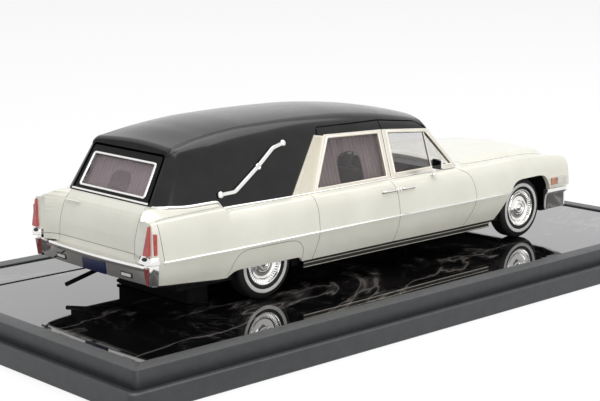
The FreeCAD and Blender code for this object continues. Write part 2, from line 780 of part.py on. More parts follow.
def behind_glasshouse(shift=0.0):
    """Space behind the rear face of the roof."""
    (x0, z0), (x1, z1) = DOOR_PROFILE[-2:]
    slope = (x1 - x0) / (z1 - z0)
    low = (x0 + slope * (20.0 - z0) + shift, 20.0)
    high = (x0 + slope * (SKY - z0) + shift, SKY)
    return prism((low, high, (-70, SKY), (-70, 20.0)), "y", -FAR, FAR)


def in_side_plane(shape):
    """Carry a shape drawn as (station, height up the slope, out of the car) onto the right side."""
    lean = math.atan(size("dims.side_lean"))
    rotation = FreeCAD.Rotation(Vec(1, 0, 0), 90 - math.degrees(lean))
    base = Vec(0, -size("dims.belt_half_width"), size("dims.belt_level"))
    moved = shape.copy()
    moved.Placement = FreeCAD.Placement(base, rotation).multiply(moved.Placement)
    return moved


def on_sides(*shapes):
    """Shapes drawn in the side plane, on the car's right and left."""
    placed = [in_side_plane(shape) for shape in shapes]
    return Part.makeCompound(placed + [mirrored(shape) for shape in placed])


def side_outline(points):
    """Outline given by stations and levels, in the side plane's coordinates."""
    lean = math.atan(size("dims.side_lean"))
    return [(x, (level - size("dims.belt_level")) / math.cos(lean)) for x, level in points]


def plate(points, low, high):
    """Flat plate on an outline, between two distances from its plane."""
    return prism(points, "z", low, high)


def offset_outline(points, distance):
    """Outline with straight sides moved outwards by a distance."""
    face = Part.Face(Part.makePolygon([Vec(*p, 0) for p in points] + [Vec(*points[0], 0)]))
    grown = face.makeOffset2D(distance, 2)
    return [(vertex.X, vertex.Y) for vertex in grown.OuterWire.OrderedVertexes]


REAR_DOOR_GLASS = ((18.3, 23.6), (24.4, 33.8), (PILLAR - 1.7, 33.3), (PILLAR - 1.9, 23.6))
FRONT_DOOR_GLASS = (
    (PILLAR + 1.6, 23.6), (PILLAR + 1.7, 33.1), (PILLAR + 14.9, 31.9), (PILLAR + 21.9, 23.6))
CORNER_PANEL = ((9.9, 22.9), (20.0, 35.0), (23.0, 34.5), (16.2, 22.9))
SIDE_GLASS = (REAR_DOOR_GLASS, FRONT_DOOR_GLASS)
REAR_GLASS = ((-11.6, 1.55), (-11.05, 8.4), (11.05, 8.4), (11.6, 1.55))
PANE_LAP = -0.05
PANE_DEPTH = -0.7


def in_rear_plane(shape):
    """Carry a shape drawn as (across, height up the slope, out of the car) onto the rear face."""
    (x0, z0), (x1, z1) = DOOR_PROFILE[-2:]
    lean = math.degrees(math.atan2(x1 - x0, z1 - z0))
    turn = FreeCAD.Rotation(Vec(0, 1, 0), lean).multiply(
        FreeCAD.Rotation(Vec(0, -1, 0), Vec(0, 0, 1), Vec(-1, 0, 0), "XYZ")
    )
    moved = shape.copy()
    moved.Placement = FreeCAD.Placement(Vec(x0, 0, z0), turn).multiply(moved.Placement)
    return moved


def roof_shell():
    """Covered roof: landau sides, header and pillars, open at both window bands and both ends."""
    wall = size("dims.roof_wall")
    outer = skin([ring(row["x"], roof_half(row)) for row in ROOF])
    shell = outer.cut(behind_glasshouse()).cut(ahead_of_screen())
    shell = shell.cut(roof_cavity(wall, 1.0).cut(behind_glasshouse(wall)))
    for points in SIDE_GLASS:
        shell = shell.cut(on_sides(plate(side_outline(points), -3, 3)))
    shell = shell.cut(in_rear_plane(plate(REAR_GLASS, -3, 3)))
    return feature("roof_shell", shell)


def glazing_frame(inside, width):
    """Frame of a window on the outside of its plane."""
    outside = offset_outline(inside, width)
    return plate(outside, GAP, size("dims.trim_proud")).cut(plate(inside, -1, 2))


def pane_plate(inside):
    """Pane of a window, let in behind its frame."""
    sunk = offset_outline(inside, PANE_LAP)
    return plate(sunk, PANE_DEPTH, PANE_DEPTH + size("dims.glass_thickness"))


def windows():
    """Frames and panes of the side windows and the rear window, and the ribbed corner panels."""
    width = size("dims.frame_width")
    outlines = [side_outline(points) for points in SIDE_GLASS]
    feature("window_frames", on_sides(*(glazing_frame(points, width) for points in outlines)))
    feature("side_glass", on_sides(*(pane_plate(points) for points in outlines)))
    panel = plate(side_outline(CORNER_PANEL), GAP, size("dims.trim_proud"))
    frame_space = plate(offset_outline(outlines[0], width + 3 * GAP), -1, 2)
    feature("corner_panels", on_sides(panel.cut(frame_space)))
    feature("rear_window_frame", in_rear_plane(glazing_frame(REAR_GLASS, size("dims.rear_frame_width"))))
    feature("rear_glass", in_rear_plane(pane_plate(REAR_GLASS)))


BAR_POINTS = ((-11.4, 25.3), (-7.3, 25.4), (0.7, 29.9), (6.3, 33.5), (9.7, 34.2))
BAR = {"width": 0.95, "low": 0.35, "high": 0.85, "knob": 0.8, "hub": 1.0, "cap": 0.14}


def landau_bars():
    """S-shaped bars with a knob at each end and a hub half way, on short feet."""
    points = side_outline(BAR_POINTS)
    pieces = []
    thickness = BAR["high"] - BAR["low"]
    for (x0, z0), (x1, z1) in zip(points, points[1:]):
        length = math.hypot(x1 - x0, z1 - z0)
        turn = math.degrees(math.atan2(z1 - z0, x1 - x0))
        run = Part.makeBox(length, BAR["width"], thickness, Vec(0, -BAR["width"] / 2, BAR["low"]))
        run.Placement = FreeCAD.Placement(Vec(x0, z0, 0), FreeCAD.Rotation(Vec(0, 0, 1), turn))
        pieces.append(run)
    for x, z in points[1:-1]:
        pieces.append(Part.makeCylinder(BAR["width"] / 2, thickness, Vec(x, z, BAR["low"])))
    height = BAR["high"] + BAR["cap"]
    for (x, z), radius in ((points[0], "knob"), (points[-1], "knob"), (points[2], "hub")):
        pieces.append(Part.makeCylinder(BAR[radius], height, Vec(x, z, GAP)))
    bar = in_side_plane(pieces[0].multiFuse(pieces[1:]))
    feature("landau_bar_right", bar)
    feature("landau_bar_left", mirrored(bar))


def windscreen():
    """Curved pane between the pillars, just behind the roof's front edge."""
    pane = size("dims.glass_thickness")
    wires = []
    for level in (23.4, 33.8):
        rims = []
        for shift in (-0.35, -0.35 - pane):
            start, middle, end = screen_arc(level, shift, SCREEN_REACH)
            rims.append((start, Part.Arc(start, middle, end).toShape(), end))
        (start, outer, end), (start_in, inner, end_in) = rims
        wires.append(Part.Wire([outer, Part.makeLine(end, end_in), inner, Part.makeLine(start_in, start)]))
    return feature("windscreen", skin(wires))


# ---------------------------------------------------------------- trim


def strip(table, key, span, width, height, out=0.0, up=0.0):
    """Bar of rectangular section along a corner of a table's sections, on the left side."""
    rear, front = span
    rings = []
    for x in [rear] + [row["x"] for row in table if rear < row["x"] < front] + [front]:
        y, z = blend(table, x)[key]
        low, high = z + up, z + up + height
        inner, outer = y + out, y + out + width
        corners = [Vec(x, inner, low), Vec(x, outer, low), Vec(x, outer, high), Vec(x, inner, high)]
        rings.append(Part.makePolygon(corners + [corners[0]]))
    return skin(rings)


def mouldings():
    """Belt moulding under the roof, side strip at the widest line, sill and tail mouldings."""
    belt = strip(ROOF, "base", (-26.8, PILLAR + 23.0), 0.4, 0.35, out=2 * GAP, up=2 * GAP)
    feature("belt_mouldings", pair(belt))
    line = strip(BODY, "wide", (-30.5, FRONT - 10.65), 0.3, 0.5, out=GAP, up=-0.25)
    feature("side_strips", pair(line))
    sill = strip(BODY, "sill", (11.0, FRONT - 14.35), 1.5, 1.5, out=-1.6, up=-1.8)
    feature("sill_mouldings", pair(sill))
    tail = strip(BODY, "sill", (-31.0, -12.8), 0.5, 0.5, out=-0.9, up=-0.51)
    feature("tail_mouldings", pair(tail))
    across = plate(((-13.8, 0.05), (13.8, 0.05), (13.8, 0.5), (-13.8, 0.5)), GAP, size("dims.trim_proud"))
    feature("rear_belt_moulding", in_rear_plane(across))


DOOR_HANDLES = ((PILLAR - 6.6, PILLAR - 1.0), (PILLAR - 0.6, PILLAR + 4.7))
HANDLE = {"inner": 22.97, "depth": 0.5, "low": 19.9, "height": 0.6}
REAR_HANDLE = ((-30.6, 21.9), (-29.95, 23.0), (-29.3, 23.0), (-30.0, 21.9))


def handles():
    """Pull handles of the side doors and of the rear door."""
    pulls = []
    for rear, front in DOOR_HANDLES:
        place = Vec(rear, HANDLE["inner"], HANDLE["low"])
        pull = Part.makeBox(front - rear, HANDLE["depth"], HANDLE["height"], place)
        pulls += [pull, mirrored(pull)]
    pulls.append(prism(REAR_HANDLE, "y", 7.8, 13.3))
    feature("door_handles", Part.makeCompound(pulls))


MIRROR_HEAD = ((-1.4, 23.4), (-1.2, 25.9), (-0.4, 25.7), (-0.2, 23.7))
MIRROR_PLACE = PILLAR + 13.3


def mirrors():
    """Door mirrors, each a head on a short stalk."""
    head = prism([(MIRROR_PLACE + x, z) for x, z in MIRROR_HEAD], "y", 21.9, 24.9)
    stalk = Part.makeCylinder(0.35, 1.9, Vec(MIRROR_PLACE - 0.8, 22.2, 21.95))
    feature("mirrors", pair(head.fuse(stalk)))


# ---------------------------------------------------------------- ends

# Section of the rear bumper: station of each corner at the ends, how far it bows back in the
# middle, and its level.
BUMPER_SECTION = (
    (-31.55, 0.0, 12.7), (-32.1, 1.1, 12.7), (-32.15, 1.1, 11.6), (-31.95, 1.0, 11.4),
    (-31.95, 0.6, 8.4), (-31.55, 0.0, 8.4),
)
BUMPER_HALF = 19.6
POD_CAP = ((-34.05, 19.2), (-34.05, 21.5), (-33.2, 22.4), (-31.55, 23.0), (-31.55, 19.2))
POD = ((-33.0, 19.4), (-33.0, 21.4), (-32.4, 22.1), (-31.55, 22.8), (-31.55, 19.4))
POD_LEVELS = (8.6, 13.4, 15.0)
BACKUP_LAMP = ((-32.62, 10.5), (-32.95, 10.5), (-32.77, 14.1), (-32.44, 14.1))


def bowed(share):
    """Section of the rear bumper at a share of its half width."""
    bow = 1 - share * share
    return [Vec(x - back * bow, share * BUMPER_HALF, z) for x, back, z in BUMPER_SECTION]


def slab(low, high):
    """Solid between two outlines of as many corners."""
    return skin([Part.makePolygon(corners + [corners[0]]) for corners in (low, high)])


def rear_end():
    """Rear bumper with its end pods, lamps and blank plate."""
    rings = []
    for share in (-1.0, -0.6, -0.3, 0.0, 0.3, 0.6, 1.0):
        corners = bowed(share)
        rings.append(Part.makePolygon(corners + [corners[0]]))
    foot, cap_foot, cap_top = POD_LEVELS
    pod = prism(POD, "z", foot, cap_foot).fuse(prism(POD_CAP, "z", cap_foot, cap_top))
    feature("rear_bumper", skin(rings).multiFuse([pod, mirrored(pod)]))
    lens = slab(
        [Vec(-33.05, 20.3, 8.9), Vec(-33.05, 20.7, 8.9), Vec(-33.4, 20.7, 8.9), Vec(-33.4, 20.3, 8.9)],
        [Vec(-33.05, 19.8, 13.3), Vec(-33.05, 21.1, 13.3), Vec(-33.7, 21.1, 13.3), Vec(-33.7, 19.8, 13.3)],
    )
    feature("bumper_lenses", pair(lens))
    fin = slab(
        [Vec(-33.23, 19.9, 15.2), Vec(-33.23, 22.1, 15.2), Vec(-33.9, 22.1, 15.2), Vec(-33.9, 19.9, 15.2)],
        [Vec(-32.71, 21.0, 21.7), Vec(-32.71, 21.5, 21.7), Vec(-33.1, 21.5, 21.7), Vec(-33.1, 21.0, 21.7)],
    )
    feature("tail_lenses", pair(fin))
    slot = prism(((-32.4, 22.55), (-32.4, 22.95), (-31.2, 23.1), (-31.2, 22.7)), "z", 15.9, 20.0)
    feature("side_lenses", pair(slot))
    feature("backup_lamps", pair(prism(BACKUP_LAMP, "z", 9.2, 10.2)))
    plate_face = ((-32.75, 8.1), (-33.15, 11.1), (-33.4, 11.1), (-33.0, 8.1))
    feature("number_plate", prism(plate_face, "y", -4.3, 4.3))


FRONT_BAR = ((9.75, 22.9), (16.85, 23.0), (20.45, 15.0), (21.25, 0.0))
FRONT_BAR_INNER = ((9.75, 21.2), (15.25, 21.0), (18.75, 14.0), (19.45, 0.0))
BAND = {"low": 10.9, "high": 12.3, "inset": 0.35, "foot": 6.8}


def bumper_plan(inset=0.0):
    """Plan of the front bumper, its outer face moved inwards by an inset."""
    outer = [(FRONT + x - inset * (x > FRONT_BAR[0][0]), y - inset * (y > 0)) for x, y in FRONT_BAR]
    inner = [(FRONT + x, y) for x, y in FRONT_BAR_INNER]
    outside = outer + [(x, -y) for x, y in reversed(outer[:-1])]
    inside = inner + [(x, -y) for x, y in reversed(inner[:-1])]
    return outside + inside[::-1]


def front_end():
    """Front bumper, grille, headlamps and the marker lenses in the fenders."""
    band = prism(bumper_plan(), "z", BAND["low"], BAND["high"])
    face = prism(bumper_plan(BAND["inset"]), "z", BAND["foot"], BAND["low"])
    feature("front_bumper", band.fuse(face))
    low = size("dims.grille_low") + 0.1
    height = size("dims.grille_high - dims.grille_low") - 0.2
    radius = size("dims.lamp_radius")
    gap = size("dims.lamp_gap")
    place = FRONT + size("dims.grille_place")
    outer_lamp = size("dims.grille_half_width") - gap - radius
    inner_lamp = outer_lamp - 2 * radius - gap
    half = inner_lamp - radius - gap
    feature("grille", Part.makeBox(1.4, 2 * half, height, Vec(place + 1.6, -half, low)))
    lamps = []
    for across in (inner_lamp, outer_lamp):
        lamp = Part.makeCylinder(radius, 1.6, Vec(place + 1.4, across, low + height / 2), Vec(1, 0, 0))
        lamps += [lamp, mirrored(lamp)]
    feature("headlamps", Part.makeCompound(lamps))
    marks = (("amber_lenses", 10.25, 12.95), ("clear_lenses", 13.0, 16.9))
    for name, rear, front in marks:
        corners = ((FRONT + rear, 22.98), (FRONT + rear, 23.2), (FRONT + front, 23.05), (FRONT + front, 22.8))
        feature(name, pair(prism(corners, "z", 13.0, 15.0)))


def tail_pipe():
    """Exhaust: silencer under the pan and a pipe that drops to its tip below the rear bumper."""
    radius = size("dims.pipe_radius")
    level = size("dims.chassis_level") - radius - 0.2
    across = 12.4
    stations = ((-31.4, 2.75), (-20.0, level), (18.0, level))
    pieces = []
    for (x0, z0), (x1, z1) in zip(stations, stations[1:]):
        run = Vec(x1 - x0, 0, z1 - z0)
        pieces.append(Part.makeCylinder(radius, run.Length, Vec(x0, across, z0), run))
    pieces.append(Part.makeSphere(radius, Vec(-20.0, across, level)))
    pieces.append(Part.makeBox(20.0, 4.6, 1.8, Vec(17.0, across - 2.3, level - 1.3)))
    feature("tail_pipe", pieces[0].multiFuse(pieces[1:]))


# ---------------------------------------------------------------- cabin


def cabin():
    """Floor, bench, casket deck, dashboard and steering wheel."""
    floor = box(
        "cabin_floor_board",
        ("dims.floor_rear", "dims.wheelbase - dims.floor_nose_gap"),
        ("-dims.floor_half_width", "dims.floor_half_width"),
        ("dims.floor_level", "dims.floor_level + dims.floor_thickness"),
    )
    node(on_car(group("cabin_floor_placed", [floor])), "cabin_floor")
    top = size("dims.floor_level + dims.floor_thickness") + GAP
    back_place = PILLAR - 4.5
    deck_place = size("dims.deck_rear")
    length = back_place - size("dims.deck_gap") - deck_place
    width = size("dims.deck_width")
    deck = Part.makeBox(length, width, size("dims.deck_height"), Vec(deck_place, -width / 2, top))
    feature("casket_deck", deck)
    width = size("dims.bench_width")
    height = size("dims.bench_height")
    seat = Part.makeBox(size("dims.bench_depth"), width, height, Vec(PILLAR - 3.0, -width / 2, top))
    back = Part.makeBox(
        size("dims.bench_back_depth"),
        width,
        size("dims.bench_back_height"),
        Vec(back_place, -width / 2, top + height - 0.6),
    )
    feature("front_bench", seat.fuse(back))
    width = size("dims.dashboard_width")
    place = Vec(PILLAR + 18.5, -width / 2, size("dims.dashboard_level"))
    board = Part.makeBox(size("dims.dashboard_depth"), width, size("dims.dashboard_height"), place)
    feature("dashboard", board)
    radius = size("dims.steering_radius")
    rim = Part.makeTorus(radius, 0.28)
    column = Part.makeCylinder(0.5, size("dims.steering_reach"), Vec(0, 0, -0.3))
    spoke = Part.makeBox(2 * radius, 0.7, 0.3, Vec(-radius, -0.35, -0.15))
    wheel = rim.multiFuse([column, spoke])
    wheel.Placement = FreeCAD.Placement(Vec(PILLAR + 12.6, 8.0, 20.4), FreeCAD.Rotation(Vec(0, 1, 0), 115))
    feature("steering_wheel", wheel)


DRAPE_LOW, DRAPE_HIGH = -2.0, -1.5
DRAPE_REAR_END = 17.2
DRAPE_LAP = 0.8


def arched_gap(middle, foot, half_width, height):
    """Round-topped cutter that parts a drape."""
    straight = height - half_width
    block = Part.makeBox(2 * half_width, straight, 4, Vec(middle - half_width, foot, -4))
    return block.fuse(Part.makeCylinder(half_width, 4, Vec(middle, foot + straight, -4)))


def drapes():
    """Drapes behind the rear door windows and the rear window, each parted in an arch."""
    front = PILLAR - DRAPE_LAP
    low, high = 23.1, 34.3
    outline_points = ((DRAPE_REAR_END, low), (DRAPE_REAR_END, high), (front, high), (front, low))
    cloth = plate(side_outline(outline_points), DRAPE_LOW, DRAPE_HIGH)
    middle = (DRAPE_REAR_END + front) / 2 + 0.3
    cloth = cloth.cut(arched_gap(middle, -1.0, 4.0, 8.0))
    feature("side_drapes", on_sides(cloth))
    cloth = plate(((-12.4, 1.0), (-12.0, 9.6), (12.0, 9.6), (12.4, 1.0)), DRAPE_LOW, DRAPE_HIGH)
    cloth = cloth.cut(arched_gap(0.0, -1.0, 3.0, 6.6))
    feature("rear_drape", in_rear_plane(cloth))


plinth_tray()
plinth_sheet()
fixings()
wheel_pieces()
chassis_plate()
lower_body()
roof_shell()
windows()
landau_bars()
windscreen()
mouldings()
handles()
mirrors()
rear_end()
front_end()
tail_pipe()
cabin()
drapes()

DOC.recompute()
problems = [item.Name for item in DOC.Objects if "Invalid" in item.State or "Error" in item.State]
for item in NODES:
    if item.Shape.isNull() or not item.Shape.isValid() or not item.Shape.Solids:
        problems.append(item.Label)
if problems:
    raise SystemExit("failed: " + ", ".join(problems))
os.makedirs("parts", exist_ok=True)
for item in NODES:
    item.Shape.exportStep(f"parts/{item.Label}.step")
    bounds = item.Shape.BoundBox
    print(f"{item.Label:24s} solids {len(item.Shape.Solids)}  volume {item.Shape.Volume:9.2f}"
          f"  z {bounds.ZMin:6.2f} to {bounds.ZMax:6.2f}")
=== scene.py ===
from math import atan, copysign, cos, dist, pi, radians, sin, sqrt, tan

import bmesh
import bpy
from mathutils import Matrix, Vector
from mathutils.bvhtree import BVHTree


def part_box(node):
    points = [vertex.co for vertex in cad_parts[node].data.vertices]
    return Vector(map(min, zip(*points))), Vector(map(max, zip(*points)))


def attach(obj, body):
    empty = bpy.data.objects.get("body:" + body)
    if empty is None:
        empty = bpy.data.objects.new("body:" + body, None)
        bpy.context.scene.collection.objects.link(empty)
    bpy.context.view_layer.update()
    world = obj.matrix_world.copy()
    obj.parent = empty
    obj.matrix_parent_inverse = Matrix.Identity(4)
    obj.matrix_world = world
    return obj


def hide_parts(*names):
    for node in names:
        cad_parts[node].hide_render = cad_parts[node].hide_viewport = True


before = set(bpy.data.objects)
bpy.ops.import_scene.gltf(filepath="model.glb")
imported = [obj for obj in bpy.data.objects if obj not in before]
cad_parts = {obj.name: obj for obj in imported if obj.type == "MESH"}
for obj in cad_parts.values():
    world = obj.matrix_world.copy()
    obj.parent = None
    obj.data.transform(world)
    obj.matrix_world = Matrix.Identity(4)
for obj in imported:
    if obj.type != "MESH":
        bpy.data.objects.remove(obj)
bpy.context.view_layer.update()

MM = 0.001
STILL = "car_on_plinth"
WHEEL_BODY = {"rear": "rear_wheel_pair", "front": "front_wheel_pair"}
SIGNS = {"left": 1, "right": -1}


def middle(node):
    """Centre of a CAD node's box."""
    low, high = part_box(node)
    return (low + high) / 2


# The car's own datum: on the rear axle's centre line, at the level of the plinth's sheet.
AXLE = middle("axle_rod_rear")
SHEET_LOW, SHEET_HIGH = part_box("plinth_sheet")
DATUM = Vector((AXLE.x, AXLE.y, SHEET_HIGH.z))
FRONT = (middle("axle_rod_front").x - AXLE.x) / MM
PILLAR = FRONT - 49.15
AXLE_LEVEL = (AXLE.z - DATUM.z) / MM
TYRE_RADIUS = (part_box("tyre_rear_left")[1].z - AXLE.z) / MM


def car(point):
    """A place in the car's frame, in millimetres, as a place in the shared frame."""
    return DATUM + Vector(point) * MM


# -------------------- shape helpers

# A shape is its points and its faces. A profile is a list of pairs, as each helper says.


def make(name, shape, material, stands_for="", body=STILL, sharp=38.0, in_car=True):
    """Piece of a shape in millimetres, shaded smooth up to an angle, riding on a body."""
    points, faces = shape
    mesh = bpy.data.meshes.new(name)
    mesh.from_pydata([car(point) if in_car else Vector(point) * MM for point in points], [], faces)
    tidy(mesh, sharp)
    mesh.materials.append(material)
    thing = bpy.data.objects.new(name, mesh)
    bpy.context.scene.collection.objects.link(thing)
    if body:
        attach(thing, body)
    if stands_for:
        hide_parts(stands_for)
    return thing


def rework(mesh, in_triangles=False):
    """Split a mesh's faces into triangles, so that a cut is exact, or weld it and turn it outwards."""
    work = bmesh.new()
    work.from_mesh(mesh)
    if in_triangles:
        bmesh.ops.triangulate(work, faces=work.faces)
    else:
        bmesh.ops.remove_doubles(work, verts=work.verts, dist=2e-7)
        bmesh.ops.dissolve_degenerate(work, edges=work.edges, dist=1e-7)
        bmesh.ops.recalc_face_normals(work, faces=work.faces)
    work.to_mesh(mesh)
    work.free()


def tidy(mesh, sharp=38.0):
    """Clean a mesh and shade it smooth except over sharp edges."""
    rework(mesh)
    mesh.shade_smooth()
    mesh.set_sharp_from_angle(angle=radians(sharp))


def band(rows, wrap=False):
    """Shape of quads over closed rows of points; wrap joins the last row to the first."""
    count = len(rows[0])
    faces = []
    for i in range(len(rows) if wrap else len(rows) - 1):
        low = i * count
        high = ((i + 1) % len(rows)) * count
        for j in range(count):
            k = (j + 1) % count
            faces.append((low + j, low + k, high + k, high + j))
    return [point for row in rows for point in row], faces


def lofted(rows):
    """Closed skin through rings, with flat ends."""
    points, faces = band(rows)
    count = len(rows[0])
    faces.append(tuple(reversed(range(count))))
    faces.append(tuple(range(len(points) - count, len(points))))
    return points, faces


def prism(outline, axis, low, high):
    """Outline pulled along an axis: x, y or z."""
    spot = "xyz".index(axis)
    return lofted([[(*pair[:spot], level, *pair[spot:]) for pair in outline] for level in (low, high)])


def block(low, high):
    """Block between two corners."""
    outline = ((low[0], low[1]), (high[0], low[1]), (high[0], high[1]), (low[0], high[1]))
    return prism(outline, "z", low[2], high[2])


def turned(put, profile, count=24):
    """Solid turned about an axis; a profile pair is (radius, along), put(a, b, along) places a point."""
    return lofted([[put(a, b, along) for a, b in circle(radius, count)] for radius, along in profile])


def circle(radius, count):
    """Points round a centre."""
    turns = [2 * pi * step / count for step in range(count)]
    return [(radius * cos(turn), radius * sin(turn)) for turn in turns]


def together(*shapes):
    """One list of points and faces from several."""
    points, faces = [], []
    for more_points, more_faces in shapes:
        base = len(points)
        points += more_points
        faces += [tuple(index + base for index in face) for face in more_faces]
    return points, faces


def mirrored(shape):
    """Image of a shape on the other side of the car."""
    points, faces = shape
    return [(x, -y, z) for x, y, z in points], [tuple(reversed(face)) for face in faces]


def both(shape):
    """A left-hand shape and its image."""
    return together(shape, mirrored(shape))


def with_image(half, axis, shared=0):
    """Half an outline and its image across an axis; shared points at the end aren't doubled."""
    image = [tuple(-v if i == axis else v for i, v in enumerate(spot)) for spot in half[:len(half) - shared]]
    return [*half, *reversed(image)]


def carve(thing, *shapes, material=None):
    """Cut closed shapes out of a piece; the cut faces take a material."""
    for shape in shapes:
        carve_with(thing, make("tool", shape, material or thing.data.materials[0], body=None))


def carve_with(thing, tool):
    """Cut one piece out of another, and drop the one that cuts."""
    rework(thing.data, in_triangles=True)
    rework(tool.data, in_triangles=True)
    change = thing.modifiers.new("carve", "BOOLEAN")
    change.operation = "DIFFERENCE"
    change.solver = "EXACT"
    change.material_mode = "TRANSFER"
    change.object = tool
    settle(thing)
    bpy.data.objects.remove(tool)
    rework(thing.data)


def settle(thing):
    """Apply a piece's modifiers."""
    graph = bpy.context.evaluated_depsgraph_get()
    mesh = bpy.data.meshes.new_from_object(thing.evaluated_get(graph))
    thing.modifiers.clear()
    thing.data = mesh


def bevel(thing, width, steps=2):
    """Round a piece's edges by a width in millimetres."""
    change = thing.modifiers.new("bevel", "BEVEL")
    change.width = width * MM
    change.segments = steps
    change.limit_method = "ANGLE"
    change.angle_limit = radians(35.0)
    settle(thing)
    tidy(thing.data)


def soften(corners, steps=4):
    """Outline with rounded inner corners; a corner is (across, up, reach of its rounding)."""
    path = [corners[0][:2]]
    for before, corner, after in zip(corners, corners[1:], corners[2:]):
        here = Vector(corner[:2])
        ends = []
        for other in (before, after):
            away = Vector(other[:2]) - here
            ends.append(here + away * min(corner[2] / max(away.length, 1e-6), 0.5))
        for step in range(steps + 1):
            share = step / steps
            spot = ends[0] * (1 - share) ** 2 + here * 2 * share * (1 - share) + ends[1] * share**2
            path.append(tuple(spot))
    path.append(corners[-1][:2])
    return path


def closed_soften(corners, steps=4):
    """Closed outline with every corner rounded."""
    return soften([corners[-1], *corners, corners[0]], steps)[1:-1]


def flow(xs, ys):
    """Smooth curve through points that never swings past them."""
    steps = [(yb - ya) / (xb - xa) for xa, xb, ya, yb in zip(xs, xs[1:], ys, ys[1:])]
    slopes = [steps[0]]
    for left, right in zip(steps, steps[1:]):
        slopes.append(0.0 if left * right <= 0 else 2 * left * right / (left + right))
    slopes.append(steps[-1])

    def at(x):
        """Value at a place."""
        i = max(i for i in range(len(xs) - 1) if x >= xs[i] or i == 0)
        span = xs[i + 1] - xs[i]
        share = (x - xs[i]) / span
        rest = 1 - share
        return (
            ys[i] * (1 + 2 * share) * rest**2
            + ys[i + 1] * share**2 * (3 - 2 * share)
            + slopes[i] * span * share * rest**2
            - slopes[i + 1] * span * share**2 * rest
        )

    return at


def spread(low, high, count):
    """Evenly spaced values."""
    return [low + (high - low) * i / (count - 1) for i in range(count)]


def headings(path):
    """Each point of a path with the way ahead there."""
    last = len(path) - 1
    ends = [(Vector(path[max(i - 1, 0)]), Vector(path[min(i + 1, last)])) for i in range(last + 1)]
    return [(Vector(point), (after - before).normalized()) for point, (before, after) in zip(path, ends)]


# -------------------- materials


def surface(slot, name, colour, rough, metal=0.0, **sockets):
    """Principled material, its even values set on the shader's own sockets; the slot is not used."""
    material = bpy.data.materials.new(name)
    material.use_nodes = True
    values = {"Base Color": (*colour, 1.0), "Roughness": rough, "Metallic": metal, **sockets}
    for key, value in values.items():
        shader_of(material).inputs[key.replace("_", " ")].default_value = value
    return material


def shader_of(material):
    """The material's Principled shader."""
    return material.node_tree.nodes["Principled BSDF"]


def add(owner, kind, **values):
    """Shader node in a material or world; a value is an input's source or even value, or a property."""
    item = owner.node_tree.nodes.new(f"ShaderNode{kind}")
    for key, value in values.items():
        label = key.replace("_", " ")
        if label not in item.inputs:
            setattr(item, key, value)
        elif isinstance(value, bpy.types.NodeSocket):
            link(owner, value, item.inputs[label])
        else:
            item.inputs[label].default_value = value
    return item


def link(owner, source, target):
    """Join two sockets."""
    owner.node_tree.links.new(source, target)


def feed(material, name, source):
    """Lead a value into the material's shader."""
    link(material, source, shader_of(material).inputs[name])


def grain(material, scale, detail=4.0, stretch=(1.0, 1.0, 1.0), **values):
    """Noise over the piece's own place, in shared-frame metres."""
    place = add(material, "TexCoord").outputs["Object"]
    turn = add(material, "Mapping", Scale=stretch, Vector=place).outputs["Vector"]
    noise = add(material, "TexNoise", Scale=scale, Detail=detail, Vector=turn, **values)
    return noise.outputs["Fac"]


def waves(material, pitch, direction):
    """Even bands over the piece's own place."""
    place = add(material, "TexCoord").outputs["Object"]
    wave = add(material, "TexWave", Scale=pitch, bands_direction=direction, Vector=place)
    return wave.outputs["Fac"]


def ramp(material, source, stops):
    """Colour ramp over a value; stops are (place, colour)."""
    item = add(material, "ValToRGB", Fac=source)
    elements = item.color_ramp.elements
    while len(elements) < len(stops):
        elements.new(0.5)
    for element, (place, colour) in zip(elements, stops):
        element.position = place
        element.color = (*colour, 1.0)
    return item.outputs["Color"]


def tint(material, source, dark, light, low=0.35, high=0.65):
    """Colour that drifts between two shades."""
    feed(material, "Base Color", ramp(material, source, ((low, dark), (high, light))))


def uneven(material, source, low, high):
    """Roughness that drifts between two values."""
    item = add(material, "MapRange", To_Min=low, To_Max=high, Value=source)
    feed(material, "Roughness", item.outputs["Result"])


def relief(material, source, depth):
    """Bump of a depth in millimetres."""
    item = add(material, "Bump", Strength=1.0, Distance=depth * MM, Height=source)
    feed(material, "Normal", item.outputs["Normal"])


def mottled(slot, name, shades, rough, cloud, gloss=None, tooth=None, metal=0.0, even=None, **sockets):
    """Colour drifts over a noise; gloss (scale, detail, low, high) and tooth (scale, depth) may too."""
    material = surface(slot, name, even or shades[1], rough, metal, **sockets)
    tint(material, grain(material, *cloud), *shades)
    if gloss:
        uneven(material, grain(material, *gloss[:2]), *gloss[2:])
    if tooth:
        relief(material, grain(material, tooth[0], 2.0), tooth[1])
    return material


def dimmed(colour, share):
    """A colour and its darker shade, darker first."""
    return tuple(part * share for part in colour), colour


def grey(dark, light):
    """Two neutral shades."""
    return (dark,) * 3, (light,) * 3


def satin_black(slot, name, shades, rough):
    """Covered roof: dark satin with a fine tooth."""
    gloss = (700.0, 3.0, rough - 0.05, rough + 0.07)
    return mottled(slot, name, shades, rough, (160.0,), gloss, (5000.0, 0.012), even=shades[0],
                   Specular_IOR_Level=0.1, Coat_Weight=0.45, Coat_Roughness=0.12)


def bright(slot, name, colour, rough, drift=0.04):
    """Plated or bare metal with slight haze."""
    gloss = (900.0, 3.0, rough, rough + drift)
    return mottled(slot, name, dimmed(colour, 0.94), rough, (300.0,), gloss, metal=1.0)


def plain(slot, name, shades, rough, scale=900.0, depth=0.01, **sockets):
    """Moulded plastic: fine mottle in colour, gloss and surface."""
    gloss = (scale * 0.6, 3.0, rough - 0.04, rough + 0.06)
    return mottled(slot, name, shades, rough, (scale,), gloss, (scale * 3, depth), **sockets)


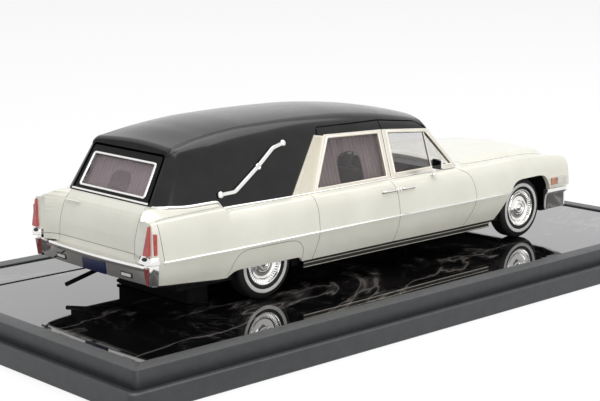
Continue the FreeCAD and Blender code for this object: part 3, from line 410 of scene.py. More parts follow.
def cloth(slot, name, shades):
    """Moulded drape: soft colour in the folds, dull surface."""
    folds = (220.0, 5.0, (1.0, 1.0, 0.25))
    return mottled(slot, name, shades, 0.8, folds, tooth=(5000.0, 0.01), Sheen_Weight=0.2)


def pane(name, colour, alpha):
    """Clear glazing, thin enough to see straight through."""
    return mottled("clear_glass", name, dimmed(colour, 0.9), 0.02, (60.0,), Alpha=alpha, Coat_Weight=1.0,
                   Coat_Roughness=0.01)


def lens(slot, name, dark, light):
    """Coloured lens with fine ribs and a clear skin."""
    material = mottled(slot, name, (dark, light), 0.22, (700.0,), Coat_Weight=1.0, Coat_Roughness=0.03)
    relief(material, waves(material, 1500.0, "Z"), 0.03)
    return material


def ribbed(slot, name, colour):
    """Satin metal with fine ribs along its height, painted darker in the ribs' hollows as shade."""
    material = surface(slot, name, colour, 0.38, 1.0)
    ribs = waves(material, 3500.0, "X")
    relief(material, ribs, 0.05)
    # Painted shade: the colour darkens where the ribs' relief is low.
    tint(material, ribs, *dimmed(colour, 0.85), 0.2, 0.8)
    return material


def marble(slot, name):
    """Polished black stone with white veins and brown clouds."""
    material = surface(slot, name, (0.006, 0.006, 0.007), 0.035, Coat_Weight=0.6, Coat_Roughness=0.02)
    bend = grain(material, 11.0, 5.0, (1.0, 1.9, 1.0), Distortion=1.1, Roughness=0.55)
    fine = grain(material, 34.0, 7.0, (1.5, 1.0, 1.0), Distortion=1.8, Roughness=0.62)
    cloud = grain(material, 9.0, 4.0, Distortion=0.6)
    black, edge = (0.0, 0.0, 0.0), (0.035, 0.031, 0.029)
    total = ramp(material, cloud, ((0.52, (0.003, 0.003, 0.0035)), (0.7, (0.022, 0.018, 0.016))))
    veins = ((0.482, black), (0.495, edge), (0.4995, (0.16, 0.145, 0.135)), (0.503, edge), (0.512, black))
    threads = ((0.492, black), (0.4995, (0.045, 0.042, 0.04)), (0.507, black))
    for source, stops in ((bend, veins), (fine, threads)):
        mix = add(material, "Mix", data_type="RGBA", blend_type="ADD")
        mix.inputs[0].default_value = 1.0
        link(material, total, mix.inputs[6])
        link(material, ramp(material, source, stops), mix.inputs[7])
        total = mix.outputs[2]
    feed(material, "Base Color", total)
    uneven(material, grain(material, 400.0, 2.0), 0.025, 0.05)
    return material


IVORY = mottled("body_paint", "ivory_paint", ((0.70, 0.69, 0.60), (0.76, 0.75, 0.66)), 0.32, (90.0,),
                (6000.0, 1.0, 0.26, 0.4), Coat_Weight=0.8, Coat_Roughness=0.06, Specular_IOR_Level=0.5)
GAP_SHADE = plain("body_paint", "gap_shade", ((0.1, 0.095, 0.08), (0.16, 0.15, 0.13)), 0.7)
ROOF_BLACK = satin_black("roof_black", "roof_black", ((0.005, 0.005, 0.006), (0.01, 0.01, 0.011)), 0.22)
# Dead black without gloss: the painted shade in the rear door's gap.
DEEP_BLACK = plain("roof_black", "deep_black", grey(0.0, 0.001), 0.9, Specular_IOR_Level=0.0)
DOOR_BLACK = plain("roof_black", "door_black", grey(0.003, 0.006), 0.45, Specular_IOR_Level=0.12)
SEAM_BLACK = satin_black("interior", "seam_black", grey(0.004, 0.007), 0.5)
CHROME = bright("chrome_trim", "chrome", (0.88, 0.87, 0.85), 0.05)
FRAME_STEEL = bright("chrome_trim", "frame_steel", (0.85, 0.81, 0.72), 0.3, 0.02)
MIRROR_GLASS = bright("chrome_trim", "mirror_glass", (0.05, 0.052, 0.056), 0.04)
SATIN = bright("satin_metal", "satin_steel", (0.055, 0.052, 0.046), 0.3, 0.08)
STEEL = bright("steel", "bare_steel", (0.55, 0.55, 0.56), 0.25, 0.1)
RIBBED = ribbed("satin_metal", "ribbed_panel", (0.9, 0.86, 0.75))
RUBBER = mottled("tyre_rubber", "tyre_rubber", grey(0.004, 0.009), 0.6, (500.0,), tooth=(4000.0, 0.01),
                 even=(0.006, 0.006, 0.006), Specular_IOR_Level=0.3)
WHITE = plain("whitewall", "white_ring", ((0.6, 0.6, 0.58), (0.72, 0.72, 0.7)), 0.5)
MARBLE = marble("sheet_gloss", "black_marble")
TRAY = plain("plinth_black", "tray_black", ((0.026, 0.028, 0.03), (0.034, 0.036, 0.039)), 0.42, 500.0, 0.012)
UNDERSIDE = plain("chassis_black", "underside_black", grey(0.006, 0.01), 0.85, Specular_IOR_Level=0.1)
CABIN = plain("interior", "cabin_dark", ((0.018, 0.018, 0.02), (0.035, 0.035, 0.038)), 0.5)
SEAT = cloth("interior", "seat_cloth", ((0.03, 0.028, 0.03), (0.06, 0.056, 0.058)))
DRAPE = cloth("drape", "drape_cloth", ((0.13, 0.094, 0.1), (0.19, 0.142, 0.15)))
GLASS = pane("clear_pane", (0.24, 0.22, 0.22), 0.12)
REAR_GLASS = pane("rear_pane", (0.54, 0.44, 0.475), 0.19)
RED = lens("red_lens", "red_lens", (0.36, 0.012, 0.014), (0.55, 0.03, 0.03))
DEEP_RED = lens("red_lens", "deep_red_lens", (0.16, 0.002, 0.004), (0.25, 0.005, 0.008))
AMBER = lens("amber_lens", "amber_lens", (0.42, 0.14, 0.07), (0.55, 0.2, 0.1))
CLEAR = lens("clear_lens", "clear_lens", (0.62, 0.6, 0.55), (0.75, 0.73, 0.68))
PLATE = plain("plate_blue", "plate_blue", ((0.004, 0.007, 0.045), (0.007, 0.012, 0.065)), 0.35,
              Specular_IOR_Level=0.25)


def dress(material, *names):
    """Give CAD nodes that stay in view a finish."""
    for name in names:
        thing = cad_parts[name]
        thing.data.materials.clear()
        thing.data.materials.append(material)
        thing.data.set_sharp_from_angle(angle=radians(35))


# -------------------- plinth


def rounded_ring(half_x, half_y, radius, level, steps=8):
    """Rounded rectangle round the plinth's axis."""
    ring = []
    for turn, (sx, sy) in enumerate(((1, 1), (-1, 1), (-1, -1), (1, -1))):
        for step in range(steps + 1):
            angle = pi / 2 * (turn + step / steps)
            x = sx * (half_x - radius) + radius * cos(angle)
            ring.append((x, sy * (half_y - radius) + radius * sin(angle), level))
    return ring


def tray():
    """Plinth tray: flange with its cover channel, block, recess and hollow underside."""
    half_x, half_y, top = (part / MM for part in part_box("plinth_tray")[1])
    sheet_x = SHEET_HIGH.x / MM + 0.15
    sheet_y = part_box("name_strip")[1].y / MM + 0.15
    bed = SHEET_LOW.z / MM
    flange, lip, channel, inner = 4.6, 1.1, 3.9, 3.3
    edge = 0.25
    profile = (
        (edge, 0.0), (0.0, edge), (0.0, flange - edge), (edge, flange), (lip - 0.15, flange),
        (lip, flange - 0.15), (lip, channel), (inner, channel), (inner, top - 0.35), (inner + 0.1, top - 0.1),
        (inner + 0.35, top),
    )
    rows = []
    for inset, level in profile:
        rows.append(rounded_ring(half_x - inset, half_y - inset, max(1.7 - inset * 0.15, 0.6), level))
    for out, level in ((0.15, top), (0.0, top - 0.15), (0.0, bed)):
        rows.append(rounded_ring(sheet_x + out, sheet_y + out, 0.3, level))
    wall = inner + 1.8
    under = [rounded_ring(half_x - wall, half_y - wall, 0.4, level) for level in (bed - 2.0, 0.0)]
    points, faces = band(rows)
    count = len(rows[0])
    faces.append(tuple(range(len(points) - count, len(points))))
    below, below_faces = band([*under, rows[0]])
    below_faces.append(tuple(range(count)))
    make("tray", together((points, faces), (below, below_faces)), TRAY, "plinth_tray", in_car=False)


def slabs():
    """Polished sheet and name strip with eased edges."""
    for node in ("plinth_sheet", "name_strip"):
        low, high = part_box(node)
        centre = (low + high) / (2 * MM)
        half = (high - low) / (2 * MM)
        rows = []
        for inset, level in ((0.0, low.z / MM), (0.0, high.z / MM - 0.1), (0.1, high.z / MM)):
            ring = rounded_ring(half.x - inset, half.y - inset, 0.15, level, 2)
            rows.append([(x + centre.x, y + centre.y, z) for x, y, z in ring])
        make(f"{node}_stone", lofted(rows), MARBLE, node, sharp=20.0, in_car=False)


# -------------------- wheels

# Profiles are (radius, how far out). The tread has four grooves, which repeat along it.
TREAD = [(radius, out + 0.6 * turn) for turn in range(4) for radius, out in (
    (8.05, 1.5), (7.9, 1.55), (7.9, 1.7), (8.05, 1.75))]
TYRE_PROFILE = (
    (4.9, 0.5), (5.3, 0.12), (6.2, 0.0), (7.2, 0.12), (7.75, 0.42), (8.0, 0.85), (8.05, 1.2), *TREAD,
    (8.05, 3.9), (7.98, 4.2), (7.75, 4.55), (7.3, 4.8), (6.8, 4.93), (6.66, 4.95), (6.64, 4.86),
    (5.74, 4.86), (5.72, 4.93), (5.35, 4.9), (5.02, 4.62), (4.9, 4.3),
)
RING_PROFILE = ((5.76, 4.86), (5.78, 4.95), (5.9, 4.98), (6.5, 4.98), (6.6, 4.95), (6.62, 4.86))
DISC_PROFILE = (
    (4.98, 3.9), (4.98, 4.62), (4.9, 4.72), (4.78, 4.74), (4.68, 4.66), (4.62, 4.4), (4.56, 4.3),
    (4.2, 4.24), (3.85, 4.16), (3.78, 4.2), (3.7, 4.26), (3.58, 4.24), (3.45, 4.05), (3.2, 3.92), (2.9, 3.9),
    (2.3, 3.98), (1.9, 4.12), (1.75, 4.3), (1.62, 4.42), (1.3, 4.5), (1.1, 4.48), (0.95, 4.36), (0.8, 4.36),
    (0.6, 4.5), (0.3, 4.62), (0.0, 4.66),
)
RIBS = 44


def wheel_skin(profile, place, sign, count, ribbed=False):
    """Open skin turned about a line along Y, with radial ribs round the disc's outer ring."""
    x, y, z = place
    rows = []
    for radius, out in profile:
        row = []
        for step, (a, b) in enumerate(circle(radius, count)):
            ribs = ribbed and 3.86 < radius < 4.55
            lift = 0.11 * cos(RIBS * 2 * pi * step / count) if ribs else 0.0
            row.append((x + a, y + sign * (out + lift), z + b))
        rows.append(row)
    return band(rows)


def wheels():
    """Tyres with tread grooves, white rings and chromed discs, and the rods they turn on."""
    pieces = (
        ("tyre", RUBBER, TYRE_PROFILE, 128), ("whitewall", WHITE, RING_PROFILE, 128),
        ("wheel_disc", CHROME, DISC_PROFILE, RIBS * 6, True),
    )
    for end, body in WHEEL_BODY.items():
        for side, sign in SIGNS.items():
            low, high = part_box(f"tyre_{end}_{side}")
            inner = (low.y if sign > 0 else high.y) - DATUM.y
            place = (0.0 if end == "rear" else FRONT, inner / MM, AXLE_LEVEL)
            for node, material, profile, *rest in pieces:
                name = f"{node}_{end}_{side}"
                make(f"{name}_face", wheel_skin(profile, place, sign, *rest), material, name, body, 30.0)
    dress(STEEL, "axle_rod_rear", "axle_rod_front")


# -------------------- tables

# Each row is a station and the corners of its section, as (across, up), in the order of the
# corners' names, each of which has the reach of its rounding.
BODY_CORNERS = {
    "sill": 0.3, "low": 1.5, "wide": 0.5, "shoulder": 3.2, "crest": 0.5, "gutter": 0.7, "deck": 0.5,
    "centre": 3.0,
}
BODY_ROWS = (
    (-33.3, (20.9, 8.8), (21.6, 10.4), (22.4, 13.9), (22.3, 19.6), (21.6, 22.2), (20.2, 22.2), (16.6, 23.6),
     (0, 23.6)),
    (-28.0, (21.9, 8.4), (22.7, 10.2), (23.3, 13.9), (22.9, 20.2), (22.3, 22.6), (20.7, 22.9), (16.8, 24.35),
     (0, 24.35)),
    (-25.0, (22.0, 8.2), (22.8, 10.1), (23.4, 13.9), (22.9, 20.3), (22.3, 22.7), (20.6, 23.0), (17.7, 24.12),
     (0, 24.12)),
    (-20.0, (22.1, 7.8), (22.9, 10.0), (23.5, 13.9), (23.0, 20.5), (22.4, 22.9), (20.6, 23.1), (18.6, 23.75),
     (0, 23.75)),
    (-12.6, (22.2, 7.3), (22.9, 9.8), (23.5, 13.8), (23.0, 20.4), (22.2, 22.9), (20.6, 23.2), (19.25, 23.85),
     (0, 23.85)),
    (-11.1, (22.2, 7.3), (22.9, 9.8), (23.5, 13.8), (23.0, 20.1), (21.9, 21.9), (21.0, 22.1), (19.8, 22.28),
     (0, 22.28)),
    (12.0, (22.2, 7.3), (22.9, 9.8), (23.5, 13.8), (22.9, 19.8), (21.8, 21.8), (20.9, 22.1), (19.8, 22.28),
     (0, 22.28)),
    (PILLAR - 3.0, (22.0, 7.2), (22.8, 9.7), (23.5, 13.8), (22.9, 19.8), (21.7, 21.8), (20.9, 22.1),
     (19.8, 22.28), (0, 22.28)),
    (PILLAR + 23.0, (21.8, 7.0), (22.7, 9.6), (23.4, 13.7), (22.8, 19.7), (21.6, 21.9), (20.7, 22.1),
     (19.6, 22.2), (0, 22.8)),
    (FRONT - 18.15, (21.8, 7.0), (22.7, 9.6), (23.4, 13.7), (22.7, 19.6), (21.5, 22.0), (16.0, 21.3),
     (14.6, 22.6), (0, 23.6)),
    (FRONT - 0.15, (21.8, 7.0), (22.6, 9.6), (23.2, 13.6), (22.5, 19.2), (21.2, 22.0), (15.4, 21.3),
     (13.9, 22.5), (0, 23.5)),
    (FRONT + 10.85, (21.6, 7.0), (22.4, 9.6), (22.9, 13.4), (22.3, 18.6), (20.9, 21.2), (15.1, 20.8),
     (13.5, 22.2), (0, 23.1)),
    (FRONT + 14.85, (21.5, 7.0), (22.2, 9.6), (22.6, 13.3), (22.1, 18.4), (20.8, 20.7), (15.0, 20.1),
     (13.2, 21.5), (0, 22.3)),
    (FRONT + 16.35, (21.5, 7.0), (22.1, 9.6), (22.5, 13.2), (22.0, 18.3), (20.7, 20.5), (15.0, 19.8),
     (13.1, 20.7), (0, 21.4)),
    (FRONT + 18.35, (21.4, 7.0), (22.0, 9.6), (22.4, 13.2), (21.9, 18.2), (20.6, 20.2), (15.0, 18.7),
     (13.0, 18.8), (0, 19.2)),
)
BELT = (19.8, 22.3)
LEAN = atan(0.31)
# A row without a base has its base on the belt and its eave on the side's slope, by level alone.
ROOF_CORNERS = {"base": 0.3, "eave": 1.3, "rim": 1.3, "crown": 4.0, "centre": 5.0}
ROOF_ROWS = (
    (-28.0, (16.8, 24.37), (14.6, 34.0), (13.6, 34.9), (7.0, 35.3), (0, 35.4)),
    (-25.0, (17.7, 24.14), (15.0, 34.4), (13.8, 35.4), (7.1, 35.8), (0, 36.0)),
    (-20.0, (18.6, 23.77), (15.25, 35.0), (14.0, 36.1), (7.3, 36.6), (0, 36.8)),
    (-12.6, (19.25, 23.87), (15.5, 35.5), (13.7, 37.3), (7.6, 38.2), (0, 38.6)),
    (-11.1, None, 35.55, (13.65, 37.5), (7.6, 38.45), (0, 38.85)),
    (-6.0, None, 35.85, (13.5, 38.1), (7.7, 39.2), (0, 39.6)),
    (2.0, None, 36.1, (13.3, 38.7), (7.8, 39.8), (0, 40.2)),
    (16.0, None, 36.3, (13.4, 38.9), (7.8, 40.0), (0, 40.4)),
    (29.0, None, 36.0, (13.4, 38.6), (7.8, 39.8), (0, 40.2)),
    (PILLAR - 1.0, None, 35.0, (13.6, 37.5), (8.0, 38.8), (0, 39.2)),
    (PILLAR + 11.0, None, 33.7, (14.0, 35.7), (8.2, 37.0), (0, 37.4)),
    (PILLAR + 19.0, None, 32.4, (14.3, 34.0), (8.4, 35.2), (0, 35.5)),
    (PILLAR + 33.0, None, 29.8, (14.8, 30.7), (8.6, 31.3), (0, 31.5)),
)
UPPER = ("crest", "gutter", "deck", "rim", "crown", "centre")
DOOR_PROFILE = ((-31.5, 13.1), (-31.35, 16.8), (-30.7, 19.8), (-29.5, 22.6), (-27.6, 24.5), (-21.0, 35.9))
REAR_FOOT = DOOR_PROFILE[-2]
REAR_SLOPE = (DOOR_PROFILE[-1][0] - REAR_FOOT[0]) / (DOOR_PROFILE[-1][1] - REAR_FOOT[1])
REAR_LEAN = atan(REAR_SLOPE)
DOOR_HALF = 14.2
FLARE = (-34.0, 19.8)
BODY_WALL = 1.2
ROOF_WALL = 0.9


def filled(row):
    """Roof row with the corners that lie on the glasshouse side worked out."""
    if row[1]:
        return row
    half_width = BELT[0] - tan(LEAN) * (row[2] - BELT[1])
    return (row[0], BELT, (half_width, row[2]), *row[3:])


def curves_of(rows, corners):
    """Smooth curves along the car through each named corner of a table."""
    xs = [row[0] for row in rows]
    curves = {}
    for index, name in enumerate(corners, 1):
        curves[name] = [flow(xs, [row[index][axis] for row in rows]) for axis in (0, 1)]
    return curves


BODY = curves_of(BODY_ROWS, BODY_CORNERS)
ROOF = curves_of([filled(row) for row in ROOF_ROWS], ROOF_CORNERS)


def corner_of(curves, name, x):
    """One corner of a section at a station."""
    across, up = curves[name]
    return across(x), up(x)


def section(curves, corners, x, inset=0.0, foot=None):
    """Full softened section at a station, from the left foot over the top to the right foot."""
    half = []
    for name, reach in corners.items():
        across, up = corner_of(curves, name, x)
        level = up - (inset if name in UPPER else 0.0)
        if foot is not None and not half:
            level = foot
        half.append((max(across - inset, 0.0) if across else 0.0, level, reach))
    return soften(with_image(half, 0, 1))


def body_skin(stations, *inset_and_foot):
    """Closed skin of the painted body through its sections at stations."""
    sections = [(x, section(BODY, BODY_CORNERS, x, *inset_and_foot)) for x in stations]
    return lofted([[(x, y, z) for y, z in spots] for x, spots in sections])


def on_side(along, up, out=0.0):
    """Place on the left glasshouse side from station, height up the slope and distance out."""
    y = BELT[0] - up * sin(LEAN) + out * cos(LEAN)
    return along, y, BELT[1] + up * cos(LEAN) + out * sin(LEAN)


def on_rear(across, up, out=0.0):
    """Place on the rear face from distance across, height up the slope and distance out."""
    x = REAR_FOOT[0] + up * sin(REAR_LEAN) - out * cos(REAR_LEAN)
    return x, across, REAR_FOOT[1] + up * cos(REAR_LEAN) + out * sin(REAR_LEAN)


def slope(points):
    """Stations and levels as stations and heights up the side's slope; a reach stays."""
    return [(x, (level - BELT[1]) / cos(LEAN), *rest) for x, level, *rest in points]


def offset(points, distance):
    """Closed outline moved outwards with mitred corners."""
    spots = [Vector(point) for point in points]
    after = spots[1:] + spots[:1]
    turn = 1 if sum(a.x * b.y - b.x * a.y for a, b in zip(spots, after)) > 0 else -1
    ways = [(b - a).normalized() for a, b in zip(spots, after)]
    outs = [Vector((way.y, -way.x)) * turn for way in ways]
    moved = []
    for index, here in enumerate(spots):
        first, second = outs[index - 1], outs[index]
        moved.append(tuple(here + (first + second) * (distance / max(1 + first.dot(second), 0.2))))
    return moved


def plate_on(place, outline, low, high):
    """Plate on an outline in a plane, between two distances out."""
    return lofted([[place(a, b, out) for a, b in outline] for out in (low, high)])


def frame_on(place, *borders):
    """Moulding in a plane; a border is an outline and its (away, out) pairs."""
    rows = []
    for outline, profile in borders:
        rows += [[place(a, b, out) for a, b in offset(outline, away)] for away, out in profile]
    return band(rows, wrap=True)


def strip_on(place, path, profile):
    """Bar along a path in a plane; a profile pair is (aside, out)."""
    rows = []
    for (a, b), ahead in headings([point[:2] for point in path]):
        rows.append([place(a - ahead.y * aside, b + ahead.x * aside, out) for aside, out in profile])
    return lofted(rows)


def ribbon_on(place, path, width, low, high):
    """Band of even width along a path in a plane, between two distances out."""
    pairs = zip([(-99.0, 0.0), *path], path)
    path = [point for before, point in pairs if dist(before[:2], point[:2]) > NO_STEP]
    half = width / 2
    return strip_on(place, path, ((half, low), (half, high), (-half, high), (-half, low)))


def sweep(path, profile, aside):
    """Closed bar through points in space; a profile pair is (aside, up from the path)."""
    rows = []
    for point, ahead in headings(path):
        across = ahead.cross(Vector(aside)).normalized()
        out = across.cross(ahead).normalized()
        rows.append([tuple(point + across * a + out * b) for a, b in profile])
    return lofted(rows)


def tree_of(thing):
    """Search tree over a piece's faces, for finding places on it."""
    work = bmesh.new()
    work.from_mesh(thing.data)
    tree = BVHTree.FromBMesh(work)
    work.free()
    return tree


# How a path of pairs is thrown onto a face: where its lines start, well off the car, and which
# way they run.
THROWS = {
    "side": (lambda x, z: (x, 40.0, z), (0, -1, 0)),
    "rear": (lambda y, z: (-60.0, y, z), (1, 0, 0)),
    "top": (lambda x, y: (x, y, 60.0), (0, 0, -1)),
}


def landed(tree, face, spot):
    """Where a throw meets a piece, and the way out of it there."""
    start, way = THROWS[face]
    place, normal, _, _ = tree.ray_cast(car(start(*spot)), Vector(way))
    if place is None:
        raise SystemExit(f"nothing at {spot}")
    return (place - DATUM) / MM, -normal if normal.dot(Vector(way)) > 0 else normal


STEP = 0.8
NO_STEP = 0.02
RISE = 0.4


def gap(thing, tree, face, path, shade, width=0.11, depth=0.22, twice=True):
    """Cut a narrow gap along a path thrown onto a face, and its image on the other side."""
    spots = []
    for start, end in zip(path, path[1:]):
        reach = dist(start, end)
        count = max(int(reach / STEP), 1) if reach >= NO_STEP else 0
        for index in range(count):
            spots.append(tuple(a + (b - a) * index / count for a, b in zip(start, end)))
    found = [landed(tree, face, spot) for spot in [*spots, path[-1]]]
    rows = []
    for (point, ahead), (_, normal) in zip(headings([place for place, _ in found]), found):
        across = ahead.cross(normal).normalized() * width / 2
        rise = normal * RISE
        sink = normal * -depth
        corners = ((across, rise), (-across, rise), (-across, sink), (across, sink))
        rows.append([tuple(point + a + b) for a, b in corners])
    tool = lofted(rows)
    carve(thing, tool, *([mirrored(tool)] if twice else []), material=shade)


def stacked(*rings):
    """Solid through outlines at levels; a ring is (level, outline)."""
    return lofted([[(x, y, level) for x, y in outline] for level, outline in rings])


def behind_door(shift=0.0):
    """Space behind the rear door, flaring out to the fins' inner faces."""
    curve = DOOR_PROFILE[:-1]
    low, knee = curve[0][1], curve[-1][1]
    face_at = flow([z for x, z in curve], [x for x, z in curve])
    rings = []
    for level in (low - 8, *spread(low, knee, 14), DOOR_PROFILE[-1][1], 45.0):
        face = face_at(min(max(level, low), knee)) + REAR_SLOPE * max(level - knee, 0.0) + shift
        half = [(-60.0, shift - FLARE[1]), (FLARE[0] + shift, shift - FLARE[1]), (face, shift - DOOR_HALF)]
        rings.append((level, with_image(half, 1)))
    return stacked(*rings)


ARCH_TOP = AXLE_LEVEL + TYRE_RADIUS + 0.4
FRONT_ARCH = (
    (FRONT - 14.55, 4.0, 0.5), (FRONT - 13.75, 5.6, 1.0), (FRONT - 7.15, 14.0, 3.0),
    (FRONT - 5.85, ARCH_TOP - 0.9, 1.5), (FRONT - 3.65, ARCH_TOP, 2.0), (FRONT + 6.15, ARCH_TOP, 2.0),
    (FRONT + 8.05, ARCH_TOP - 0.9, 1.5), (FRONT + 9.55, 12.4, 2.0), (FRONT + 11.25, 4.0, 0.5),
)
REAR_ARCH = (
    (-13.2, 4.0, 0.3), (-12.6, 7.0, 1.2), (-11.4, 8.0, 1.0), (-9.6, 8.7, 1.2), (9.4, 8.5, 0.8),
    (10.4, 7.6, 0.6), (10.6, 4.0, 0.3),
)
REAR_DOOR_CUT = ((14.4, 22.15), (14.5, 21.6), (15.0, 18.9), (15.1, 15.3), (14.9, 11.7), (13.6, 7.4))
DOOR_SPLIT = (
    (PILLAR - 2.2, 22.1), (PILLAR - 1.2, 19.5), (PILLAR - 0.9, 15.0), (PILLAR - 0.9, 11.2),
    (PILLAR - 1.9, 7.2),
)
FRONT_DOOR_CUT = (
    (PILLAR + 22.2, 22.1), (PILLAR + 26.0, 20.6), (PILLAR + 27.8, 16.2), (PILLAR + 27.7, 12.2),
    (PILLAR + 24.3, 7.3),
)
SKIRT_CUT = ((-12.4, 7.6), (-9.5, 13.1), (8.0, 13.0), (10.4, 10.6), (10.2, 7.9))
FIN_CUT = ((-31.2, 22.1), (-30.9, 19.0), (-30.3, 15.0), (-30.2, 13.4))
FIN_SEAM_CUT = ((-31.2, 21.0), (-24.0, 20.9), (-13.0, 20.8))
DOOR_SIDE_CUT = ((13.95, 24.2), (14.1, 22.4), (14.15, 13.3))
DOOR_FOOT_CUT = ((-18.6, 14.4), (18.6, 14.4))
BONNET_CUT = ((PILLAR + 27.5, 15.8), (FRONT - 6.0, 15.6), (FRONT + 12.0, 15.1), (FRONT + 17.0, 14.95))
PANEL_GAPS = (
    ("side", REAR_DOOR_CUT), ("side", DOOR_SPLIT), ("side", FRONT_DOOR_CUT), ("side", SKIRT_CUT),
    ("side", FIN_CUT), ("rear", DOOR_SIDE_CUT), ("top", BONNET_CUT), ("top", FIN_SEAM_CUT),
)
NOSE_FACE = FRONT + 14.85
NOSE_HALF = 20.3
# Far enough to be past the car's sides or past a pane's two faces, for cutters.
PAST = 30.0
THROUGH = (-3.0, 3.0)
# Stations close together where the roof's base kicks up.
KICK = spread(-12.9, -10.2, 12)


def deck_opening():
    """Cutter for the space under the roof."""
    stations = (-26.0, *spread(-25.0, PILLAR + 25.0, 40))
    edge = [(x, corner_of(ROOF, "base", x)[0] - 1.6) for x in stations]
    return prism(with_image(edge, 1), "z", 20.0, 30.0)


def body_shell():
    """Painted shell: sides with fins, hood, rear door panel, wheel arches and panel gaps."""
    tail, nose = BODY_ROWS[0][0], BODY_ROWS[-1][0]
    stations = spread(tail, -26.0, 8) + spread(-24.8, -13.2, 10) + KICK
    stations += spread(-9.4, nose - 6, 83) + spread(nose - 4.8, nose, 7)
    shell = make("body_shell", body_skin(stations), IVORY, "lower_body")
    carve(shell, behind_door())
    tree = tree_of(shell)
    for face, cut in PANEL_GAPS:
        gap(shell, tree, face, soften([(a, b, 3.0) for a, b in cut], 6), GAP_SHADE)
    gap(shell, tree, "rear", DOOR_FOOT_CUT, GAP_SHADE, twice=False)
    inner = body_skin(spread(tail + BODY_WALL, nose - BODY_WALL, 46), BODY_WALL, -1.0)
    hollow = make("hollow", inner, CABIN, body=None)
    carve(hollow, behind_door(BODY_WALL))
    carve_with(shell, hollow)
    room = TYRE_RADIUS + 1.0
    # Under the roof, the arches, the tyres' room, the nose's recess, below the nose and the tail,
    # below the tail's corners, and behind the fins.
    carve(
        shell,
        deck_opening(),
        prism(closed_soften(FRONT_ARCH, 5), "y", -PAST, PAST),
        prism(closed_soften(REAR_ARCH, 5), "y", -PAST, PAST),
        block((-room, -21.75, -2.0), (room, 21.75, 18.0)),
        block((NOSE_FACE, -NOSE_HALF, 12.4), (NOSE_FACE + 10.0, NOSE_HALF, 18.4)),
        block((FRONT + 9.45, -PAST, -18.0), (FRONT + PAST, PAST, 12.4)),
        block((-41.5, -PAST, -17.0), (-31.5, PAST, 13.0)),
        block((-41.5, 18.1, -15.0), (-31.5, PAST, 15.05)),
        block((-41.5, -PAST, -15.0), (-31.5, -18.1, 15.05)),
        prism(((-33.2, 14.9), (-32.6, 22.6), (-40.0, 22.6), (-40.0, 14.9)), "y", -PAST, PAST),
    )
    tidy(shell.data, 32.0)


# -------------------- roof

SLICE = 0.5
CAP = {"top": 0.6, "side": 2.4}
CAP_DEPTHS = (0.0, 0.03, 0.1, 0.2, 0.35, 0.5, 0.7, 0.95, 1.25, 1.6, 2.0)
CAP_END = REAR_FOOT[0] + CAP["side"] / cos(REAR_LEAN)


def roof_place(s, index, slices):
    """Point of a roof ring whose plane leans with the rear face near the back."""
    lean = REAR_SLOPE * min(max((-8.0 - s) / 17.0, 0.0), 1.0)
    level = 34.0
    for _ in range(6):
        x = s + lean * (level - REAR_FOOT[1])
        spot = (min(max(x, slices[0][0]), slices[-1][0]) - slices[0][0]) / SLICE
        low = min(int(spot), len(slices) - 2)
        share = spot - low
        first = slices[low][1][index]
        second = slices[low + 1][1][index]
        y = first[0] + (second[0] - first[0]) * share
        level = first[1] + (second[1] - first[1]) * share
    return x, y, level


def roof_rings(stations, inset=0.0, foot=0.0):
    """Rings of the roof, leaning back near the rear face."""
    start = ROOF_ROWS[0][0]
    slices = []
    for step in range(int((ROOF_ROWS[-1][0] - start) / SLICE) + 1):
        x = start + SLICE * step
        slices.append((x, section(ROOF, ROOF_CORNERS, x, inset, corner_of(ROOF, "base", x)[1] - foot)))
    return [[roof_place(s, index, slices) for index in range(len(slices[0][1]))] for s in stations]


def roof_cap():
    """Rings of the roof's rear edge: a small rounding at the top, a wide one at the corners."""
    rows = []
    rings = roof_rings([REAR_FOOT[0] + depth / cos(REAR_LEAN) for depth in CAP_DEPTHS])
    for depth, ring in zip(CAP_DEPTHS, rings):
        last = len(ring) - 1
        row = []
        for index, (x, y, z) in enumerate(ring):
            before = ring[max(index - 1, 0)]
            after = ring[min(index + 1, last)]
            out = Vector((before[2] - after[2], after[1] - before[1])).normalized()
            if out.dot(Vector((y, z - 30.0))) < 0:
                out = -out
            radius = CAP["top"] + (CAP["side"] - CAP["top"]) * out.x**2
            short = max(radius - depth, 0.0)
            inward = radius - sqrt(radius**2 - short**2)
            sink = 0.0 if index in (0, last) else out.y * inward
            row.append((x - sink * REAR_SLOPE, y - out.x * inward, z - sink))
        rows.append(row)
    return rows


SIDE_WINDOWS = {
    "rear": ((17.9, 23.15, 0.2), (24.3, 33.8, 0.2), (PILLAR - 2.0, 33.2, 0.2), (PILLAR - 2.0, 23.15, 0.2)),
    "front": ((PILLAR + 1.35, 23.5, 0.2), (PILLAR + 1.45, 33.0, 0.2), (PILLAR + 14.7, 31.9, 0.3),
              (PILLAR + 21.8, 23.5, 0.2)),
}
DOOR_FRAMES = {
    "rear": ((16.5, 22.4, 0.1), (23.35, 34.75, 0.1), (PILLAR - 0.5, 34.05, 0.1), (PILLAR - 0.5, 22.5, 0.1)),
    "front": ((PILLAR - 0.28, 22.5, 0.1), (PILLAR - 0.28, 34.03, 0.1), (PILLAR + 15.7, 32.7, 0.2),
              (PILLAR + 23.6, 22.5, 0.1)),
}
VENT = ((PILLAR + 14.3, 31.9), (PILLAR + 14.5, 23.4))
REAR_WINDOW = ((-11.65, 1.75, 0.3), (-11.05, 9.2, 0.4), (11.05, 9.2, 0.4), (11.65, 1.75, 0.3))
SCREEN = {
    "low": 22.0, "base_x": PILLAR + 29.4, "base_side": PILLAR + 23.6, "base_y": 19.0, "high": 35.0,
    "top_x": PILLAR + 18.7, "top_side": PILLAR + 14.6, "top_y": 15.4,
}
HEADER = ((21.15, 34.6), (21.3, 36.6), (PILLAR - 0.2, 36.2), (PILLAR + 12.6, 34.7), (PILLAR + 16.2, 32.4))
# The roof's stitched seam: its distance out, its front end, and its width and depth.
SEAM_OUT = 12.4
SEAM_END = PILLAR + 2.0
SEAM_SIZE = (0.12, 0.15)
